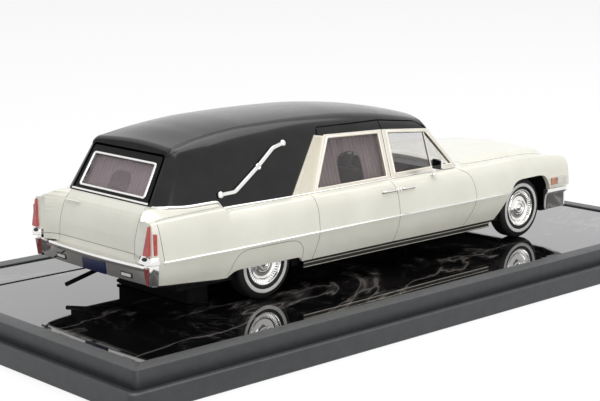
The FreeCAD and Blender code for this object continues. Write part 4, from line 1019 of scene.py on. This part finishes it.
# Half the rear door's painted gap shade, and how near a face's way must be to the door's to be painted like
# it.
DOOR_GAP_SHADOW = [(14.1, 0.1, 0.5), (12.9, 11.6, 0.9)]
FLAT = 0.998


def screen_row(level, shift=0.0, reach=1.0, count=13):
    """Curve of the windscreen's outer face at a level."""
    share = (level - SCREEN["low"]) / (SCREEN["high"] - SCREEN["low"])
    middle = SCREEN["base_x"] + (SCREEN["top_x"] - SCREEN["base_x"]) * share + shift
    side = SCREEN["base_side"] + (SCREEN["top_side"] - SCREEN["base_side"]) * share + shift
    half = SCREEN["base_y"] + (SCREEN["top_y"] - SCREEN["base_y"]) * share
    return [(middle - (middle - side) * t * t, half * t, level) for t in spread(-reach, reach, count)]


def ahead_of_screen():
    """Cutter for everything in front of the windscreen."""
    ahead = PILLAR + 52.0
    rows = []
    for level in (15.0, 45.0):
        arc = screen_row(level, reach=1.4, count=25)
        rows.append([*arc, (ahead, arc[-1][1], level), (ahead, arc[0][1], level)])
    return lofted(rows)


def roof():
    """Covered roof with rounded rear edge, window openings, door tops and seams."""
    end = ROOF_ROWS[-1][0]
    rows = roof_cap() + roof_rings(spread(CAP_END, -13.2, 12) + KICK + spread(-9.4, end, 72))
    shell = make("roof_cover", lofted(rows), ROOF_BLACK, "roof_shell")
    inside = roof_rings(spread(REAR_FOOT[0] + ROOF_WALL, end, 46), ROOF_WALL, 1.0)
    carve(shell, lofted(inside), material=CABIN)
    carve(shell, ahead_of_screen(), material=IVORY)
    for outline in SIDE_WINDOWS.values():
        tool = plate_on(on_side, offset(closed_soften(slope(outline)), 0.38), *THROUGH)
        carve(shell, tool, mirrored(tool), material=SEAM_BLACK)
    carve(shell, plate_on(on_rear, closed_soften(REAR_WINDOW), *THROUGH), material=SEAM_BLACK)
    tree = tree_of(shell)
    for face, path, *size in (
        ("side", soften([(x, z, 0.8) for x, z in HEADER]), 0.42, 0.4),
        ("side", ((PILLAR - 0.4, 33.9), (PILLAR - 0.4, 36.3)), 0.3, 0.3),
        ("top", [(x, SEAM_OUT) for x in spread(-19.0, SEAM_END, 24)], *SEAM_SIZE),
        ("top", ((SEAM_END, -SEAM_OUT), (SEAM_END + 1.4, 0.0), (SEAM_END, SEAM_OUT)), *SEAM_SIZE, False),
    ):
        gap(shell, tree, face, path, SEAM_BLACK, *size)
    tidy(shell.data, 30.0)
    behind = Vector((-cos(REAR_LEAN), 0.0, sin(REAR_LEAN)))
    shell.data.materials.append(DOOR_BLACK)
    for face in shell.data.polygons:
        if face.normal.dot(behind) > FLAT:
            face.material_index = len(shell.data.materials) - 1
    # Painted shade: a raised dead-black strip stands for the gap round the rear door and the shade in it.
    make("rear_door_gap_shadow", ribbon_on(on_rear, soften(with_image(DOOR_GAP_SHADOW, 0)), 0.5, -0.2, 0.06), DEEP_BLACK)


# -------------------- glazing and trim

FRAME = ((0.0, -0.7), (0.0, 0.14), (0.06, 0.24), (0.16, 0.28), (0.42, 0.28), (0.5, 0.22), (0.53, 0.12))
FRAME_BORDER = ((-0.08, 0.12), (0.0, 0.05), (0.0, -0.1))
REAR_FRAME = ((0.0, -0.6), (0.0, 0.16), (0.08, 0.27), (0.28, 0.3), (0.5, 0.26), (0.58, 0.14), (0.6, -0.1))
PANE = (-0.7, -0.35)
PANE_GAP = -0.02
SCREEN_LEVELS = spread(23.4, 33.8, 6)


def glazing():
    """Window frames, panes and the windscreen."""
    frames, panes = [], []
    for door, outline in SIDE_WINDOWS.items():
        points = closed_soften(slope(outline))
        border = closed_soften(slope(DOOR_FRAMES[door]))
        frames.append(both(frame_on(on_side, (points, FRAME), (border, FRAME_BORDER))))
        panes.append(both(plate_on(on_side, offset(points, PANE_GAP), *PANE)))
    frames.append(both(ribbon_on(on_side, slope(VENT), 0.36, -0.5, -0.05)))
    make("side_frames", together(*frames), FRAME_STEEL, "window_frames")
    make("side_panes", together(*panes), GLASS, "side_glass")
    points = closed_soften(REAR_WINDOW)
    make("rear_frame", frame_on(on_rear, (points, REAR_FRAME)), CHROME, "rear_window_frame")
    make("rear_pane", plate_on(on_rear, offset(points, PANE_GAP), *PANE), REAR_GLASS, "rear_glass")
    rings = []
    for level in SCREEN_LEVELS:
        rings.append([*screen_row(level, -0.35, 0.88), *reversed(screen_row(level, -0.85, 0.88))])
    make("screen", lofted(rings), GLASS, "windscreen")


CORNER_PANEL = ((9.4, 22.35), (20.0, 35.0), (23.05, 34.5), (16.2, 22.35))


def corner_panels():
    """Ribbed metal panels ahead of the roof's blind quarters, with plain rails."""
    low, top, top_in, low_in = (Vector(spot) for spot in slope(CORNER_PANEL))

    def bar(start, end, foot=0.0, head=1.0, rise=0.28):
        """Raised bar of the panel between two shares across and two of its height."""
        corners = ((start, foot), (start, head), (end, head), (end, foot))
        spots = [low.lerp(top, up).lerp(low_in.lerp(top_in, up), share) for share, up in corners]
        return plate_on(on_side, spots, 0.01, rise)

    ribs = 8
    pitch = 0.64 / ribs
    shapes = [bar(0.0, 1.0, rise=0.16)]
    for index in range(ribs):
        start = 0.22 + pitch * index
        shapes.append(bar(start, start + pitch * 0.55, 0.2, 0.97, 0.24))
    for index in range(5):
        foot = 0.03 + 0.035 * index
        shapes.append(bar(0.22, 0.86, foot, foot + 0.018, 0.24))
    rails = [bar(start, end) for start, end in ((0.0, 0.06), (0.1, 0.16), (0.9, 1.0))]
    make("panel_ribs", both(together(*shapes)), RIBBED, "corner_panels")
    make("panel_rails", both(together(*rails)), FRAME_STEEL)


BAR_POINTS = ((-11.4, 25.3), (-7.3, 25.4), (0.7, 29.9), (6.3, 33.5), (9.7, 34.2))
BAR_SHAPE = (
    (-0.48, 0.34), (-0.48, 0.62), (-0.36, 0.8), (-0.12, 0.86), (0.12, 0.86), (0.36, 0.8), (0.48, 0.62),
    (0.48, 0.34),
)
KNOB = ((0.5, 0.0), (0.5, 0.2), (0.78, 0.3), (0.8, 0.55), (0.62, 0.85), (0.3, 0.98), (0.05, 0.99))
HUB = (
    (0.5, 0.0), (0.5, 0.3), (0.72, 0.4), (0.74, 0.86), (0.62, 0.97), (0.46, 0.97), (0.38, 0.88), (0.1, 0.88),
)


def stud_on(place, centre, profile):
    """Turned stud on a plane; a profile pair is (radius, out)."""
    return turned(lambda a, b, out: place(centre[0] + a, centre[1] + b, out), profile, 32)


def landau_bars():
    """S-shaped bars with a knob at each end and a hub half way."""
    points = slope(BAR_POINTS)
    strip = strip_on(on_side, soften([(x, up, 0.7) for x, up in points], 5), BAR_SHAPE)
    studs = [stud_on(on_side, points[index], profile) for index, profile in ((0, KNOB), (-1, KNOB), (2, HUB))]
    left = together(strip, *studs)
    make("bar_left", left, CHROME, "landau_bar_left")
    make("bar_right", mirrored(left), CHROME, "landau_bar_right")


def along_body(name, start, end, profile, count):
    """Bar along a corner of the body's sections on the left; a profile pair is (out, up)."""
    rows = []
    for x in spread(start, end, count):
        y, z = corner_of(BODY, name, x)
        rows.append([(x, y + out, z + up) for out, up in profile])
    return lofted(rows)


BELT_BEAD = ((-0.3, -0.05), (0.4, -0.05), (0.46, 0.03), (0.43, 0.14), (0.3, 0.32), (0.16, 0.42), (-0.3, 0.46))
SIDE_BEAD = ((-0.3, -0.2), (0.2, -0.18), (0.28, -0.12), (0.28, -0.04), (0.18, 0.1), (0.0, 0.2), (-0.3, 0.22))
SILL_BEAD = (
    (-1.6, -1.8), (-0.3, -1.8), (-0.12, -1.68), (-0.12, -1.42), (-0.3, -1.28), (-0.3, -0.9), (-0.12, -0.78),
    (-0.12, -0.45), (-0.24, -0.32), (-1.6, -0.3),
)
SILL_LINES = (
    ((-0.3, -1.62), (-0.05, -1.6), (-0.05, -1.48), (-0.3, -1.46)),
    ((-0.3, -0.7), (-0.05, -0.68), (-0.05, -0.58), (-0.3, -0.56)),
)
TAIL_BEAD = ((-0.9, -0.5), (-0.5, -0.5), (-0.4, -0.35), (-0.4, -0.02), (-0.9, -0.01))


def mouldings():
    """Belt bead under the roof, side strip, sill and tail mouldings."""
    side, level = corner_of(ROOF, "base", CAP_END)
    side -= CAP["side"]
    rows = []
    for step in range(10, 0, -1):
        turn = pi / 2 * step / 10
        reach = [(CAP["side"] + out, up) for out, up in BELT_BEAD]
        back, out = sin(turn), cos(turn)
        rows.append([(CAP_END - r * back, side + r * out, level + up) for r, up in reach])
    for x in spread(CAP_END, -13.2, 12) + KICK + spread(-9.4, PILLAR + 23.0, 60):
        y, z = corner_of(ROOF, "base", x)
        thin = min(max((x + 8.0) / 14.0, 0.0), 1.0)
        rows.append([(x, y + out * (1 - 0.25 * thin), z + up * (1 - 0.45 * thin)) for out, up in BELT_BEAD])
    make("belt_bead", both(lofted(rows)), CHROME, "belt_mouldings")
    make("side_bead", both(along_body("wide", -30.4, FRONT - 10.65, SIDE_BEAD, 80)), CHROME, "side_strips")
    beads = (SILL_BEAD, *SILL_LINES)
    sill, *lines = (along_body("sill", 11.0, FRONT - 14.35, bead, 40) for bead in beads)
    make("sill_bead", both(sill), SATIN, "sill_mouldings")
    make("sill_lines", both(together(*lines)), FRAME_STEEL)
    make("tail_bead", both(along_body("sill", -31.0, -12.8, TAIL_BEAD, 20)), SATIN, "tail_mouldings")
    across = plate_on(on_rear, ((-14.1, 0.05), (14.1, 0.05), (14.1, 0.5), (-14.1, 0.5)), 0.0, 0.3)
    bevel(make("rear_bead", across, CHROME, "rear_belt_moulding"), 0.1)


HANDLES = ((PILLAR - 6.6, PILLAR - 1.9), (PILLAR + 4.9, PILLAR + 0.2))
# Profile of the dark strip painted under each grip as its shadow.
SHADE = ((-0.11, -0.1), (-0.11, 0.05), (0.11, 0.05), (0.11, -0.1))
BUTTON = ((0.42, 0.0), (0.42, 0.42), (0.34, 0.52), (0.1, 0.54))
GRIP = ((-0.16, -0.02), (-0.2, 0.16), (-0.12, 0.3), (0.12, 0.3), (0.2, 0.16), (0.16, -0.02))
# Places of the pull handles, as distance out and level, with their bow.
PULL = (23.0, 20.2)
PULL_BOW = 0.3
# Place of the painted shadow strip under each grip, as distance out and level.
PULL_SHADE = (22.86, 19.82)
PUSH = (22.7, 20.1)
PUSH_SHARE = 1.12


def handles():
    """Pull handles with push buttons on the doors, over dark strips painted beneath them as their shadow."""
    shapes, shades = [], []
    for start, end in HANDLES:
        spots = zip(spread(0, 1, 13), spread(start, end, 13))
        path = [(x, PULL[0] + PULL_BOW * sin(pi * t), PULL[1]) for t, x in spots]
        shapes.append(sweep(path, GRIP, (0, 1, 0)))
        shades.append(sweep([(spot[0], *PULL_SHADE) for spot in path], SHADE, (0, 1, 0)))
        push = start + (end - start) * PUSH_SHARE
        shapes.append(turned(lambda a, b, out: (push + a, PUSH[0] + out, PUSH[1] + b), BUTTON, 20))
    # Painted shadow: a dark strip on the door under each grip stands for the shade the grip casts.
    make("pull_shadows", both(together(*shades)), GAP_SHADE)
    rear = sweep([(-29.95, y, 22.45) for y in spread(7.8, 13.3, 9)], GRIP, (-0.85, 0, 0.5))
    make("pulls", together(both(together(*shapes)), rear), CHROME, "door_handles")


MIRROR = ((21.9, 23.4, 0.5), (21.9, 26.1, 0.5), (25.2, 26.1, 0.6), (25.2, 23.4, 0.6))
MIRROR_DEPTHS = ((-1.38, 0.12), (-1.3, 0.0), (-0.8, 0.02), (-0.4, 0.35), (-0.22, 0.8))
MIRROR_STEM = ((0.75, 0.0), (0.7, 0.15), (0.36, 0.4), (0.34, 1.9))


def door_mirrors():
    """Door mirrors: bright heads with dark glass, on short feet."""
    place = PILLAR + 13.3
    outline = closed_soften(MIRROR)
    rows = []
    for x, inset in MIRROR_DEPTHS:
        rows.append([(place + x, y, z) for y, z in offset(outline, -inset)])
    foot = turned(lambda a, b, up: (place - 0.8 + a, 22.2 + b, 21.95 + up), MIRROR_STEM)
    make("mirror_heads", both(together(lofted(rows), foot)), CHROME, "mirrors")
    make("mirror_glass", both(prism(offset(outline, -0.2), "x", place - 1.4, place - 1.36)), MIRROR_GLASS)


# -------------------- ends

BUMPER = (
    (-31.5, 0.0, 12.72), (-31.95, 0.9, 12.72), (-32.12, 1.1, 12.6), (-32.18, 1.12, 12.2),
    (-32.14, 1.1, 11.7), (-32.0, 1.0, 11.45), (-31.95, 0.9, 11.2), (-31.95, 0.62, 8.6), (-31.85, 0.55, 8.4),
    (-31.5, 0.0, 8.4),
)
BUMPER_HALF = 19.6
POD_CAP = ((-34.05, 19.0), (-34.05, 21.4), (-33.9, 21.8), (-33.2, 22.4), (-31.55, 23.0), (-31.55, 18.5))
CAP_DISH = (
    (19.6, 0.5), (19.85, 0.2), (20.6, 0.1), (21.2, 0.2), (21.45, 0.5), (21.2, 0.8), (20.6, 0.9),
    (19.85, 0.8),
)
POD = ((-33.0, 19.5), (-33.0, 21.3), (-32.8, 21.7), (-32.4, 22.1), (-31.55, 22.8), (-31.55, 19.5))
POD_LEVELS = ((8.6, 0.35), (8.9, 0.1), (13.45, 0.0))
# A lens in the pods or fins: the outline at its foot, and at its top.
POD_LENS = (
    (8.9, ((-32.95, 20.25), (-32.95, 20.75), (-33.3, 20.65), (-33.3, 20.35))),
    (12.6, ((-32.95, 19.85), (-32.95, 21.15), (-33.6, 21.05), (-33.6, 19.95))),
)
FIN_LENS = (
    (15.5, ((-33.15, 19.95), (-33.15, 22.0), (-33.85, 21.9), (-33.85, 20.05))),
    (21.75, ((-32.65, 21.0), (-32.65, 21.5), (-33.08, 21.45), (-33.08, 21.05))),
)
SLOT_LENS = ((-32.65, 22.4), (-32.65, 22.9), (-32.05, 22.98), (-32.05, 22.5))
LAMP_RIM = ((-32.2, 10.4), (-32.56, 10.4), (-32.39, 14.2), (-32.0, 14.2))
LAMP_FACE = ((-32.2, 10.75), (-32.62, 10.75), (-32.46, 13.85), (-32.0, 13.85))
PLATE_SIDE = ((-32.4, 8.45), (-32.7, 11.1), (-32.97, 11.1), (-32.7, 8.45))


def cap_slope(share):
    """Station and level on the pod caps' rear slope, from its foot (0) to its crest (1)."""
    return -34.0 + 0.66 * share, 14.15 + 0.97 * share


def rear_end():
    """Rear bumper with end pods, lamps, tail lenses and a blank plate."""
    rows = []
    for y in spread(-BUMPER_HALF, BUMPER_HALF, 41):
        bow = 1 - (y / BUMPER_HALF) ** 2
        rows.append([(x - back * bow, y, z) for x, back, z in BUMPER])
    make("bumper_bar", lofted(rows), CHROME, "rear_bumper", sharp=45.0)
    cap = []
    for share, inset in ((0.0, 0.12), (0.15, 0.0), (1.0, 0.0)):
        ring = []
        for x, y in offset(POD_CAP, -inset):
            foot = 13.4 + 0.45 * max(19.8 - y, 0.0) / 1.6
            ring.append((x, y, foot + (cap_slope(0)[1] - foot) * share))
        cap.append(ring)
    for share, inset in ((1.0, 0.1), (1.06, 0.3)):
        station, level = cap_slope(share)
        cap.append([(max(x, station), y, level) for x, y in offset(POD_CAP, -inset)])
    dish = []
    for rise in (-0.2, 0.04):
        spots = [(y, *cap_slope(share)) for y, share in CAP_DISH]
        dish.append([(station - rise, y, level + rise) for y, station, level in spots])
    make("cap_dishes", both(lofted(dish)), SEAM_BLACK)
    pod = stacked(*[(level, offset(POD, -inset)) for level, inset in POD_LEVELS])
    make("bumper_pods", both(together(lofted(cap), pod)), CHROME, sharp=45.0)
    make("pod_lenses", both(stacked(*POD_LENS)), DEEP_RED, "bumper_lenses", sharp=25.0)
    make("fin_lenses", both(stacked(*FIN_LENS)), RED, "tail_lenses", sharp=25.0)
    make("slot_lenses", both(prism(SLOT_LENS, "z", 15.7, 20.2)), RED, "side_lenses")
    make("lamp_rims", both(prism(LAMP_RIM, "z", 9.15, 10.3)), SEAM_BLACK)
    make("reverse_lamps", both(prism(LAMP_FACE, "z", 9.4, 10.05)), CLEAR, "backup_lamps")
    bevel(make("blank_plate", prism(PLATE_SIDE, "y", -4.9, 3.6), PLATE, "number_plate"), 0.08)


# Front bumper: its outer and inner lines, and how far each level stands in from the outer one.
FRONT_BAR = ((8.6, 22.9, 0.5), (17.4, 23.1, 1.8), (20.45, 15.0, 3.0), (21.25, 0.0, 5.0))
FRONT_BAR_INNER = ((8.6, 21.4), (15.25, 21.2), (18.75, 14.0), (19.45, 0.0))
FRONT_LEVELS = ((6.8, 0.6), (7.0, 0.4), (10.7, 0.35), (10.95, 0.1), (11.1, 0.0), (12.1, 0.0), (12.3, 0.2))
LAMP_BOWL = ((1.9, 0.0), (1.9, 1.4), (1.8, 1.58), (1.66, 1.5), (1.6, 1.2))
LAMP_GLASS = ((1.62, 1.2), (1.5, 1.35), (1.0, 1.5), (0.5, 1.57), (0.05, 1.59))
LAMP_GAP = 0.35
LAMP_LEVEL = 15.4
# A side marker: its name, its ends ahead of the front axle, and its lens.
MARKS = (("amber", 9.8, 12.35, AMBER), ("clear", 12.4, 16.5, CLEAR))


def lamps_ahead(places, profile):
    """Turned pieces facing the car's nose on both sides; a profile pair is (radius, ahead)."""
    lamp = NOSE_FACE + 1.4
    shapes = [turned(lambda a, b, ahead: (lamp + ahead, y + a, LAMP_LEVEL + b), profile, 40) for y in places]
    return both(together(*shapes))


def front_end():
    """Front bumper, grille, headlamps and marker lenses."""
    outer = soften(with_image([(FRONT + x, y, reach) for x, y, reach in FRONT_BAR], 1, 1))
    inner = with_image([(FRONT + x, y) for x, y in FRONT_BAR_INNER], 1, 1)
    rings = []
    for level, inset in FRONT_LEVELS:
        ring = []
        for x, y in outer:
            ahead = (x - FRONT - 9.75) / 11.5
            ring.append((x - inset * min(ahead * 3, 1.0), y - copysign(inset * min(abs(y) / 8, 1.0), y)))
        rings.append((level, [*ring, *reversed(inner)]))
    make("bumper_blade", stacked(*rings), CHROME, "front_bumper", sharp=45.0)
    radius = LAMP_BOWL[0][0]
    outer_lamp = NOSE_HALF - LAMP_GAP - radius
    inner_lamp = outer_lamp - 2 * radius - LAMP_GAP
    side = inner_lamp - radius - LAMP_GAP
    bars = []
    for y in spread(-side + 0.15, side - 0.15, 30):
        bars.append(block((NOSE_FACE + 2.2, y - 0.1, 12.55), (NOSE_FACE + 2.95, y + 0.1, 18.25)))
    for z in spread(12.65, 18.15, 9):
        bars.append(block((NOSE_FACE + 2.1, -side, z - 0.09), (NOSE_FACE + 2.85, side, z + 0.09)))
    make("grille_bars", together(*bars), CHROME, "grille")
    make("grille_back", block((NOSE_FACE + 1.6, -side, 12.5), (NOSE_FACE + 1.9, side, 18.3)), CABIN)
    make("lamp_bezels", lamps_ahead((inner_lamp, outer_lamp), LAMP_BOWL), CHROME, "headlamps")
    make("lamp_glass", lamps_ahead((inner_lamp, outer_lamp), LAMP_GLASS), CLEAR)
    for name, rear, front, material in MARKS:
        corners = ((FRONT + rear, 22.7), (FRONT + rear, 23.2), (FRONT + front, 23.05), (FRONT + front, 22.5))
        make(f"{name}_marks", both(prism(corners, "z", 13.4, 15.2)), material, f"{name}_lenses")


def inner_wings():
    """Dark walls inside the front wheel arches and behind the bumper's ends."""
    wall = block((FRONT - 9.0, 14.2, 7.6), (FRONT + 12.5, 14.9, 17.5))
    front = block((FRONT + 9.9, 14.9, 6.6), (FRONT + 11.2, 21.3, 17.0))
    make("inner_walls", both(together(wall, front)), UNDERSIDE)


def tube(path, radius):
    """Round pipe along points in space."""
    return sweep(path, circle(radius, 16), (0, 1, 0.001))


PIPE_LEVEL = 5.3
PIPE_PATH = ((-31.4, 2.75, 0), (-20.0, PIPE_LEVEL, 4.0), (18.0, PIPE_LEVEL, 0))
PIPE_OUT = 12.4
PIPE_RADIUS = 0.5
SILENCER = ((17.0, 10.1, PIPE_LEVEL - 1.3), (37.0, 14.7, PIPE_LEVEL + 0.5))
SUMP = ((-16.1, -13.1, 0.12), (-10.4, 13.0, 4.5))
STUB = ((-15.5, 12.8, 0.62), (-15.5, 14.1, 0.62))
STUB_RADIUS = 0.42


def exhaust():
    """Tail pipe and silencer, and the low tank's sump with its stub."""
    pipe = tube([(x, PIPE_OUT, z) for x, z in soften(PIPE_PATH, 6)], PIPE_RADIUS)
    make("pipe", together(pipe, block(*SILENCER)), UNDERSIDE, "tail_pipe")
    bevel(make("tank_sump", block(*SUMP), UNDERSIDE), 0.1)
    make("tank_stub", tube(STUB, STUB_RADIUS), UNDERSIDE)


# -------------------- cabin

# How far out of the glass's plane a drape's folds and its back lie, and the width of a fold.
DRAPE_FACE = -1.62
DRAPE_BACK = -1.9
FOLD = 1.25
SIDE_DRAPE = (17.4, PILLAR - 0.4)
REAR_DRAPE = 12.0
# Bench seat and its back, as (station from the pillar, height from the seat's foot, reach).
BENCH_FOOT = 10.5
BENCH_HALF = 13.9
BENCH = (
    ((-2.9, 0.0, 0.3), (8.9, 0.0, 0.5), (8.9, 4.5, 1.6), (-1.4, 3.7, 1.0), (-1.5, 4.1, 0.2),
     (-2.9, 4.1, 0.3)),
    ((-4.4, 3.9, 0.4), (-1.6, 3.9, 0.6), (-2.1, 13.2, 0.9), (-4.3, 13.2, 0.9)),
)


def pleated(place, left, right, low, high, arch):
    """Moulded drape in soft folds, parted by a round-topped gap; arch is (centre, half width, top)."""
    centre, half, top = arch
    rows = []
    for x in sorted({*spread(left, right, 160), centre - half, centre + half}):
        turn = 2 * pi * x / FOLD
        face = DRAPE_FACE + (0.14 * sin(turn) + 0.05 * sin(turn / 2.7 + 1))
        away = abs(x - centre)
        feet = [top - half + (half**3 - away**3) ** (1 / 3) if away < half else low]
        if abs(away - half) < 1e-9:
            feet.insert(0 if x > centre else 1, top - half)
        for foot in feet:
            corners = ((foot, face), (high, face), (high, DRAPE_BACK), (foot, DRAPE_BACK))
            rows.append([place(x, up, out) for up, out in corners])
    return lofted(rows)


def drapes():
    """Drapes behind the rear doors' windows and the rear window."""
    low, high = (up for _, up in slope(((0.0, 22.9), (0.0, 34.1))))
    side = pleated(on_side, *SIDE_DRAPE, low, high, (sum(SIDE_DRAPE) / 2 + 1.2, 4.0, 8.4))
    make("side_curtains", both(side), DRAPE, "side_drapes", sharp=60.0)
    back = pleated(on_rear, -REAR_DRAPE, REAR_DRAPE, 1.2, 10.3, (0.8, 3.8, 7.0))
    make("rear_curtain", back, DRAPE, "rear_drape", sharp=60.0)


def cabin():
    """Bench, and the finish of the cabin's CAD pieces seen through the glass."""
    shapes = []
    for corners in BENCH:
        outline = [(PILLAR + x, BENCH_FOOT + up, reach) for x, up, reach in corners]
        shapes.append(prism(closed_soften(outline), "y", -BENCH_HALF, BENCH_HALF))
    bevel(make("bench", together(*shapes), SEAT, "front_bench"), 0.3, 3)
    dress(CABIN, "dashboard", "steering_wheel", "casket_deck", "cabin_floor")


# -------------------- studio

FILL = 0.42
FLOOR_GLOW = 0.85
# A lamp: its name, place, aim, size and power.
LAMPS = (
    ("top_soft", (0.05, -0.1, 0.75), (0.0, 0.0, 0.02), (1.1, 0.8), 6.8),
    ("side_soft", (-0.2, -0.85, 0.2), (0.0, 0.0, 0.01), (0.9, 0.4), 1.8),
)
VIEW = {
    "place": (-0.26598, -0.27459, 0.09728), "azimuth": -43.0, "elevation": 11.25, "roll": -0.14,
    "focal_widths": 2.535, "shift": (0.0028, -0.0007),
}


def greatest(owner, *sources):
    """Largest of some values."""
    total = sources[0]
    for source in sources[1:]:
        item = add(owner, "Math", operation="MAXIMUM")
        link(owner, total, item.inputs[0])
        link(owner, source, item.inputs[1])
        total = item.outputs[0]
    return total


def surround():
    """White surround, dimmer as a light than as it looks."""
    world = bpy.data.worlds.new("surround")
    bpy.context.scene.world = world
    world.use_nodes = True
    back = world.node_tree.nodes["Background"]
    back.inputs["Color"].default_value = (1.0, 1.0, 1.0, 1.0)
    sees = add(world, "LightPath").outputs
    seen = greatest(world, *[sees[f"Is {kind} Ray"] for kind in ("Camera", "Glossy", "Transmission")])
    level = add(world, "MapRange", To_Min=FILL, To_Max=1.0, Value=seen)
    link(world, level.outputs["Result"], back.inputs["Strength"])


def floor():
    """Pale floor that glows where the camera or a reflection sees it."""
    white = surface("", "floor_white", (0.9, 0.9, 0.9), 0.9)
    sees = add(white, "LightPath").outputs
    glow = add(white, "Emission", Strength=1.0)
    mix = add(white, "MixShader")
    share = add(white, "Math", operation="MULTIPLY")
    share.inputs[1].default_value = FLOOR_GLOW
    link(white, greatest(white, sees["Is Camera Ray"], sees["Is Glossy Ray"]), share.inputs[0])
    link(white, share.outputs[0], mix.inputs[0])
    link(white, shader_of(white).outputs[0], mix.inputs[1])
    link(white, glow.outputs[0], mix.inputs[2])
    link(white, mix.outputs[0], white.node_tree.nodes["Material Output"].inputs["Surface"])
    reach = 6000.0
    corners = ((-reach, -reach, 0), (reach, -reach, 0), (reach, reach, 0), (-reach, reach, 0))
    make("floor", (corners, [(0, 1, 2, 3)]), white, body=None, in_car=False)


def studio():
    """Surround, floor and soft lamps."""
    surround()
    floor()
    for name, place, aim, wide, power in LAMPS:
        lamp = bpy.data.lights.new(name, "AREA")
        lamp.shape = "RECTANGLE"
        lamp.size, lamp.size_y = wide
        lamp.energy = power
        thing = bpy.data.objects.new(name, lamp)
        bpy.context.scene.collection.objects.link(thing)
        thing.location = place
        thing.visible_camera = False
        thing.rotation_mode = "QUATERNION"
        thing.rotation_quaternion = (Vector(aim) - Vector(place)).to_track_quat("-Z", "Y")


def camera():
    """Camera at the rear right quarter, a little above the roof."""
    data = bpy.data.cameras.new("camera")
    data.sensor_width = 36.0
    data.lens = VIEW["focal_widths"] * data.sensor_width
    data.shift_x, data.shift_y = VIEW["shift"]
    data.clip_start = 0.01
    data.clip_end = 100.0
    thing = bpy.data.objects.new("camera", data)
    bpy.context.scene.collection.objects.link(thing)
    turn, rise = radians(VIEW["azimuth"]), radians(VIEW["elevation"])
    ahead = Vector((-sin(turn) * cos(rise), cos(turn) * cos(rise), -sin(rise)))
    facing = ahead.to_track_quat("-Z", "Y").to_matrix().to_4x4()
    rolled = facing @ Matrix.Rotation(radians(VIEW["roll"]), 4, "Z")
    thing.matrix_world = Matrix.Translation(VIEW["place"]) @ rolled
    bpy.context.scene.camera = thing
    bpy.context.scene.view_settings.view_transform = "Standard"


BUILDERS = (
    camera, studio, tray, slabs, wheels, body_shell, roof, glazing, corner_panels, landau_bars, mouldings,
    handles, door_mirrors, rear_end, front_end, inner_wings, exhaust, drapes, cabin,
)
for builder in BUILDERS:
    builder()
dress(UNDERSIDE, "chassis_plate", "spacer_posts")
dress(STEEL, "fixing_screw_rear", "fixing_screw_front")
